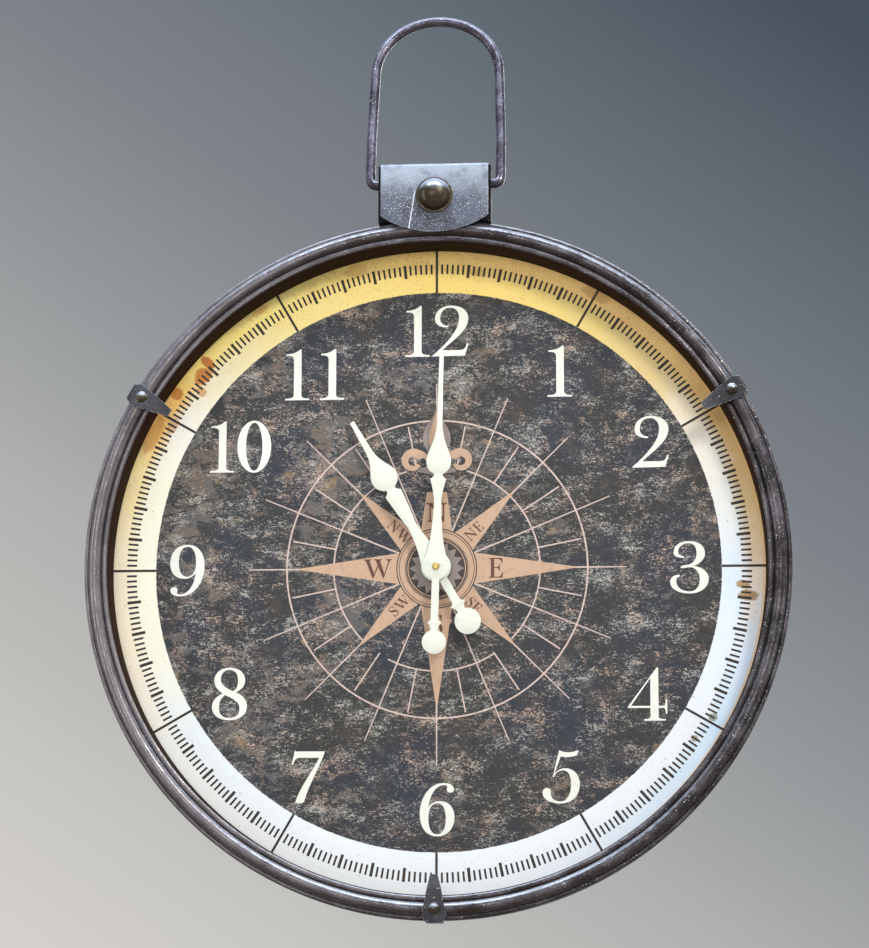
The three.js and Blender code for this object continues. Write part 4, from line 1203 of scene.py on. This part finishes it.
def build_fleur():
    """The fleur-de-lis over the north point."""
    petal = [(0, 141)]
    petal += cubic((0, 141), (2.2, 132), (6.5, 128), (9.5, 122))
    petal += cubic((9.5, 122), (13.2, 115), (12.4, 108), (8, 102))
    petal += cubic((8, 102), (5, 98), (3, 94), (2.5, 84))
    petal.append((0, 84))
    outer = bmesh.new()
    printed(outer, mirrored(petal), 0.075)
    curls = bmesh.new()
    hooks = bmesh.new()
    arm = [(4, 92), *quadratic((4, 92), (9, 103), (15, 102.5), 8)]
    arm += quadratic((15, 97), (10, 98), (4, 86), 8)
    foot = [(3, 91), *quadratic((3, 91), (9, 88), (15, 87), 6)]
    foot += [(17, 84), *quadratic((17, 84), (8, 83), (3, 80), 6)]
    details = (
        (curls, spiral((20.6, 93.6), 7.6, 6.2, 165, -150, 8.4, 40), 0.082),
        (curls, arm, 0.084),
        (hooks, spiral((18.6, 93.4), 2.6, 1.4, 170, -90, 1.8, 20), 0.09),
        (hooks, foot, 0.079),
        (hooks, spiral((10.3, 75.6), 5.3, 4.3, 200, -120, 1.2, 30), 0.078),
        (hooks, spiral((10.3, 75.6), 3.0, 2.2, 190, -120, 0.9, 24), 0.078),
    )
    for side in (1, -1):
        for shape, outline, z in details:
            printed(shape, [(side * x, y) for x, y in outline], z)
    ink_piece("fleur_outer", outer, "grey")
    ink_piece("fleur_curls", curls, "tan")
    inner = [(0, 139)]
    inner += cubic((0, 139), (1.6, 130), (5.5, 124), (6.6, 116))
    inner += cubic((6.6, 116), (7, 110), (5.5, 104), (2.6, 98))
    inner.append((0, 98))
    middle = bmesh.new()
    printed(middle, mirrored(inner), 0.088)
    ink_piece("fleur_middle", middle, "tan")
    ink_piece("fleur_hooks", hooks, "grey")


# ---- Hands ----
# Each size is a height above the hub, but "shaft", "stem" and the "_half" sizes are half widths,
# "cusp" and "disc" lie below the hub, and "hub" is a radius
HOUR_HAND = {
    "z": 8, "tip": 146, "tip_half": 1.9, "shaft": 2.9, "flare": 116, "bulge": 90, "bulge_half": 11.5,
    "neck": 78.5, "neck_half": 4, "collar": 74, "collar_half": 7.6, "waist": 42, "waist_half": 4,
    "hub": 12.8, "stem": 3.6, "cusp": 37, "cusp_half": 7.6, "disc": 54, "disc_radius": 11.2,
}
MINUTE_HAND = {
    "z": 11, "tip": 183, "tip_half": 1.8, "shaft": 2.4, "flare": 122, "bulge": 91, "bulge_half": 10.6,
    "neck": 80, "neck_half": 3.7, "collar": 75.5, "collar_half": 6.9, "waist": 58, "waist_half": 3,
    "hub": 11.7, "stem": 3.2, "cusp": 48.5, "cusp_half": 6.4, "disc": 65, "disc_radius": 10.2,
}
MINUTE_ANGLE = 1.5
HOUR_ANGLE = -30 + MINUTE_ANGLE / 12


def hand_outline(hand):
    """The hand's outline: spade blade, hub, and a tail with cusps and a counterweight disc."""
    tail = math.sqrt(hand["disc_radius"] ** 2 - hand["stem"] ** 2)
    shaft, flare = hand["shaft"], hand["flare"]
    wide, bulge = hand["bulge_half"], hand["bulge"]
    edge = [(hand["tip_half"], hand["tip"]), (shaft, flare)]
    edge += cubic((shaft, flare), (shaft + 0.7, flare - 14), (wide, bulge + 7), (wide, bulge), 16)
    edge += quadratic(edge[-1], (wide, bulge - 8), (hand["neck_half"], hand["neck"]))
    collar = (hand["collar_half"], hand["collar"])
    edge += quadratic(edge[-1], (hand["neck_half"], collar[1] + 1.5), collar, 6)
    waist = (hand["waist_half"], hand["waist"])
    edge += quadratic(edge[-1], (waist[0] + 2, waist[1] + 12), waist)
    hub = hand["hub"]
    edge += quadratic(edge[-1], (waist[0] + 0.8, hub + 11), (hub * 0.8, hub * 0.6))
    leave = -math.degrees(math.acos(hand["stem"] / hub))
    edge += arc(0, 0, hub, math.degrees(math.atan2(0.6, 0.8)), leave, 14)[1:]
    stem, cusp = hand["stem"], hand["cusp"]
    edge.append((stem, 3.5 - cusp))
    edge += quadratic(edge[-1], (stem + 0.6, 0.8 - cusp), (hand["cusp_half"], -cusp), 6)
    edge += quadratic(edge[-1], (stem + 0.4, -cusp - 1), (stem, tail - hand["disc"]), 8)
    start = math.degrees(math.atan2(tail, stem))
    edge += arc(0, -hand["disc"], hand["disc_radius"], start, -90, 26)[1:]
    return mirrored(edge)


def build_hands():
    """The two stamped hands, and the nut that holds them."""
    hands = (("hour_hand", HOUR_HAND, HOUR_ANGLE, 2.8), ("minute_hand", MINUTE_HAND, MINUTE_ANGLE, 1.9))
    for node, size, clockwise, bore in hands:
        shape = bmesh.new()
        loops = [hand_outline(size), ellipse(0, 0, bore, bore, 32)]
        prism(shape, loops, size["z"], size["z"] + 0.8)
        flatten(shape, 0.5)
        place = clock_place(clockwise)
        piece(f"{node}_stamped", shape, node, place=place, changes=[bevel(0.16, 2, 40)], crease=40)
    seat = 12.1
    edge = ((1.9, 0), (2.9, 0), (3, 0.1), (3, 0.9), (2.5, 1.45), (2.3, 1.6), (1.9, 1.6))
    nut = [(radius, seat + height) for radius, height in edge]
    piece("hand_nut_turned", lathe(nut, 40), "hand_nut")


# ---- Back of the clock ----
def build_hanger():
    half, bottom, top, corner = 36, 249, 291, 8
    outline = [
        (-half + corner, bottom), (half - corner, bottom), (half, bottom + corner), (half, top - corner),
        (half - corner, top), (corner - half, top), (-half, top - corner), (-half, bottom + corner),
    ]
    opening = math.degrees(math.asin(3 / 6))
    keyhole = arc(0, 258, 6, 90 + opening, 450 - opening, 30) + arc(0, 272, 3, 0, 180, 16)
    loops = [rounded(outline, 2.2), keyhole]
    loops += [ellipse(side * 26, 284, 2.5, 2.5, 24) for side in (-1, 1)]
    shape = prism(bmesh.new(), loops, -BACK, -22.1)
    flatten(shape, 0.5)
    piece("hanger_plate_pressed", shape, "hanger_plate", changes=[bevel(0.3, 2, 50)])
    seat = -20.3
    for name, side in (("left", -1), ("right", 1)):
        profile = [(0, -23.9), (2.0, -23.9), (2.2, -23.7), (2.2, seat), (3.9, seat)]
        profile += [(4 * x, seat + 2 * y) for x, y in arc(0, 0, 1, 6, 84, 8)] + [(0, seat + 2)]
        shape = lathe(profile, 32, at=(side * 26, 284))
        piece(f"hanger_rivet_{name}_turned", shape, f"hanger_rivet_{name}")
        slope = math.radians(-90 + side * 30)
        at = (288.15 * math.cos(slope), 288.15 * math.sin(slope))
        bumper = [(0, -22.1), (7, -22.1), (7, -23.1), *arc(6.1, -23.1, 0.9, 0, -90, 5)[1:], (0, -24)]
        piece(f"wall_bumper_{name}_moulded", lathe(bumper, 40, at=at), f"wall_bumper_{name}")


def build_clips():
    for k, clockwise in enumerate((45, 135, 225, 315), start=1):
        refined(f"dial_clip_{k}", 0.35)
        seat = -6.8
        at = clock_point(280, clockwise)
        head = ((0, 1.4), (1.1, 1.5), (1.4, 1.95), (2.3, 1.95), (3.1, 1.3), (3.3, 0.4), (3.3, 0), (1.5, 0))
        profile = [(radius, seat - height) for radius, height in head] + [(1.5, -2.6), (0, -1.3)]
        piece(f"clip_screw_{k}_turned", lathe(profile, 32, at=at), f"clip_screw_{k}")


def build_movement():
    refined("movement_housing", 0.6, 3)
    refined("movement_cover", 0.35)
    refined("mounting_nut", 0.3)
    # raised ribs and a round boss on the cover
    shape = bmesh.new()
    for x in (-22, 22):
        prism(shape, [rounded([(x - 1, -8), (x + 1, -8), (x + 1, 24), (x - 1, 24)], 0.6)], -21.9, -21.4)
    prism(shape, [rounded([(-4, 19), (18, 19), (18, 24), (-4, 24)], 1.2)], -21.9, -21.4)
    prism(shape, [rounded([(-8, -9.5), (22, -9.5), (22, -7.9), (-8, -7.9)], 0.5)], -21.8, -21.4)
    piece("cover_ribs", shape, "movement_cover", replaces=False, changes=[bevel(0.12, 2)])
    boss = rounded([(9.4, -21.9), (8.4, -21.9), (8.4, -21.4), (9.4, -21.4)], 0.2)
    piece("cover_boss", lathe(boss, 48, at=KNOB), "movement_cover", replaces=False)
    # the knob's rim is knurled
    knob = bmesh.new()
    teeth = 36
    outline = []
    for k in range(4 * teeth):
        angle = 2 * math.pi * k / (4 * teeth)
        radius = 7.0 - (0.35 if k % 4 in (0, 1) else 0.0)
        outline.append((KNOB[0] + radius * math.cos(angle), radius * math.sin(angle)))
    prism(knob, [outline], -23.4, -21.9)
    lathe([(0, -22.4), (1.6, -22.4), (1.6, -20), (0, -20)], 24, knob, KNOB)
    piece("setting_knob_knurled", knob, "setting_knob", changes=[bevel(0.12, 2)])
    arrow = bmesh.new()
    prism(arrow, [turned_outline(ring_section(3.6, 4.5, 20, 150, 16), 0, KNOB)], -23.55, -23.3)
    head = turned_outline([(3.0, -2.4), (5.6, -2.0), (3.1, -5.0)], 0, KNOB)
    prism(arrow, [head], -23.55, -23.3)
    piece("knob_arrow", arrow, "setting_knob", replaces=False)
    build_cell()


def build_cell():
    """The dry cell, turned about its own axis."""
    left, right, radius, rim = -23.9, 24.9, 7.1, 0.8
    profile = [(0, left - 1.2), (2.3, left - 1.2), (2.6, left - 0.9), (2.6, left), (radius - 1.6, left)]
    profile += arc(radius - rim, left + rim, rim, 270, 360, 5)
    profile += [(radius, right - rim)] + arc(radius - rim, right - rim, rim, 0, 90, 5)
    profile += [(radius - 1.6, right - 0.2), (0, right - 0.2)]
    place = DIAL @ Matrix.Translation((0, -19.1, -15)) @ Matrix.Rotation(math.pi / 2, 4, "Y")
    piece("battery_cell_wrapped", lathe(profile, 48), "battery_cell", place=place)


# ---- Stage ----
def add_camera():
    """The camera looks up at the clock from below, with its lens shifted a little."""
    azimuth, elevation, roll = (math.radians(value) for value in (5.023, -9.453, 0.278))
    back = Vector((
        math.sin(azimuth) * math.cos(elevation),
        -math.cos(azimuth) * math.cos(elevation),
        math.sin(elevation),
    ))
    right = Vector((math.cos(azimuth), math.sin(azimuth), 0))
    up = back.cross(right)
    turn = Matrix((right, up, back)).transposed().to_4x4()
    data = bpy.data.cameras.new("camera")
    data.sensor_fit = "VERTICAL"
    data.sensor_height = 36
    data.lens = 111.59
    data.shift_x, data.shift_y = 0.0743, 0.0769
    camera = bpy.data.objects.new("camera", data)
    place = Matrix.Translation((0.1552, -2.4995, -0.6756))
    camera.matrix_world = place @ turn @ Matrix.Rotation(roll, 4, "Z")
    SCENE.collection.objects.link(camera)
    SCENE.camera = camera


def add_area(name, place, target, size, power, colour=(255, 255, 255)):
    data = bpy.data.lights.new(name, "AREA")
    data.shape = "RECTANGLE"
    data.size, data.size_y = size
    data.energy = power
    data.color = rgb(*colour)[:3]
    light = bpy.data.objects.new(name, data)
    direction = Vector(target) - Vector(place)
    turn = direction.to_track_quat("-Z", "Y").to_matrix().to_4x4()
    light.matrix_world = Matrix.Translation(place) @ turn
    SCENE.collection.objects.link(light)


def add_world():
    """A backdrop that pales towards the lower left, and a soft neutral light from all round."""
    world = bpy.data.worlds.new("studio")
    SCENE.world = world
    world.use_nodes = True
    nodes, links = world.node_tree.nodes, world.node_tree.links
    nodes.clear()

    def make(kind):
        return nodes.new(f"ShaderNode{kind}")

    split = make("SeparateXYZ")
    links.new(make("TexCoord").outputs["Generated"], split.inputs[0])
    slant = make("Math")
    slant.operation = "MULTIPLY_ADD"
    slant.inputs[1].default_value = 0.65  # it darkens upwards, and less quickly to the right
    links.new(split.outputs[0], slant.inputs[0])
    links.new(split.outputs[2], slant.inputs[2])
    ramp = make("ValToRGB")
    stops = (
        (0.0, (213, 209, 204)), (0.154, (197, 196, 192)), (0.205, (190, 189, 185)),
        (0.33, (176, 176, 176)), (0.403, (163, 165, 166)), (0.495, (149, 152, 154)),
        (0.64, (127, 132, 138)), (0.717, (119, 124, 131)), (0.852, (96, 107, 115)),
        (1.0, (71, 82, 94)),
    )
    spread = make("MapRange")
    spread.inputs[1].default_value = -0.105
    spread.inputs[2].default_value = 0.380
    links.new(slant.outputs[0], spread.inputs[0])
    links.new(spread.outputs[0], ramp.inputs[0])
    fill_ramp(ramp.color_ramp.elements, stops)
    seen = make("Background")
    links.new(ramp.outputs[0], seen.inputs[0])
    sky = make("ValToRGB")
    sky.color_ramp.elements[0].color = rgb(214, 196, 172)
    sky.color_ramp.elements[1].color = rgb(190, 202, 222)
    height = make("MapRange")
    height.inputs[1].default_value = -0.6
    height.inputs[2].default_value = 0.6
    links.new(split.outputs[2], height.inputs[0])
    links.new(height.outputs[0], sky.inputs[0])
    lighting = make("Background")
    lighting.inputs[1].default_value = 0.55
    links.new(sky.outputs[0], lighting.inputs[0])
    chooser = make("MixShader")
    links.new(make("LightPath").outputs["Is Camera Ray"], chooser.inputs[0])
    links.new(lighting.outputs[0], chooser.inputs[1])
    links.new(seen.outputs[0], chooser.inputs[2])
    links.new(chooser.outputs[0], make("OutputWorld").inputs[0])


def add_floor():
    """A pale floor well below the clock, which the camera doesn't see."""
    height, reach = -1.15, 30
    mesh = bpy.data.meshes.new("floor")
    corners = [(x * reach, y * reach, height) for x, y in ((-1, -1), (1, -1), (1, 1), (-1, 1))]
    mesh.from_pydata(corners, [], [(0, 1, 2, 3)])
    paint = Paint("floor", roughness=0.8)
    mesh.materials.append(paint.finish(paint.mix(paint.noise(400, 2), (206, 204, 200), (214, 212, 209))))
    floor = bpy.data.objects.new("floor", mesh)
    SCENE.collection.objects.link(floor)


def add_lights():
    target = tuple(HUB)
    add_area("key", (1.3, -1.9, 1.2), target, (0.5, 0.5), 34, (255, 250, 240))
    add_area("overhead", (0.0, -0.75, 1.6), (0, -0.03, -0.1), (2.0, 0.6), 38, (228, 238, 255))
    add_area("strip left", (-1.6, -0.7, -0.1), target, (0.3, 1.5), 9)
    add_area("strip right", (1.7, -0.5, -0.2), target, (0.3, 1.5), 5)
    add_area("front", (-0.5, -3.4, 0.3), target, (1.8, 1.2), 24, (255, 252, 246))
    add_area("rear", (0.6, 2.6, 0.9), target, (1.6, 1.2), 30)


# ---- Assembly ----
def paint_carried_over():
    """CAD nodes that stay as they are take the material of their slot."""
    for node, made in frame["nodes"].items():
        made.data.materials.clear()
        made.data.materials.append(MATERIAL[SLOT[node]])


paint_carried_over()
build_bezel()
build_band()
build_claws()
build_saddle()
build_dome()
build_neck()
build_bail()
build_numerals()
build_chapter_ring()
build_rose()
build_fleur()
build_hands()
build_hanger()
build_clips()
build_movement()
add_camera()
add_world()
add_floor()
add_lights()
SCENE.view_settings.view_transform = "Standard"

bpy.context.view_layer.update()
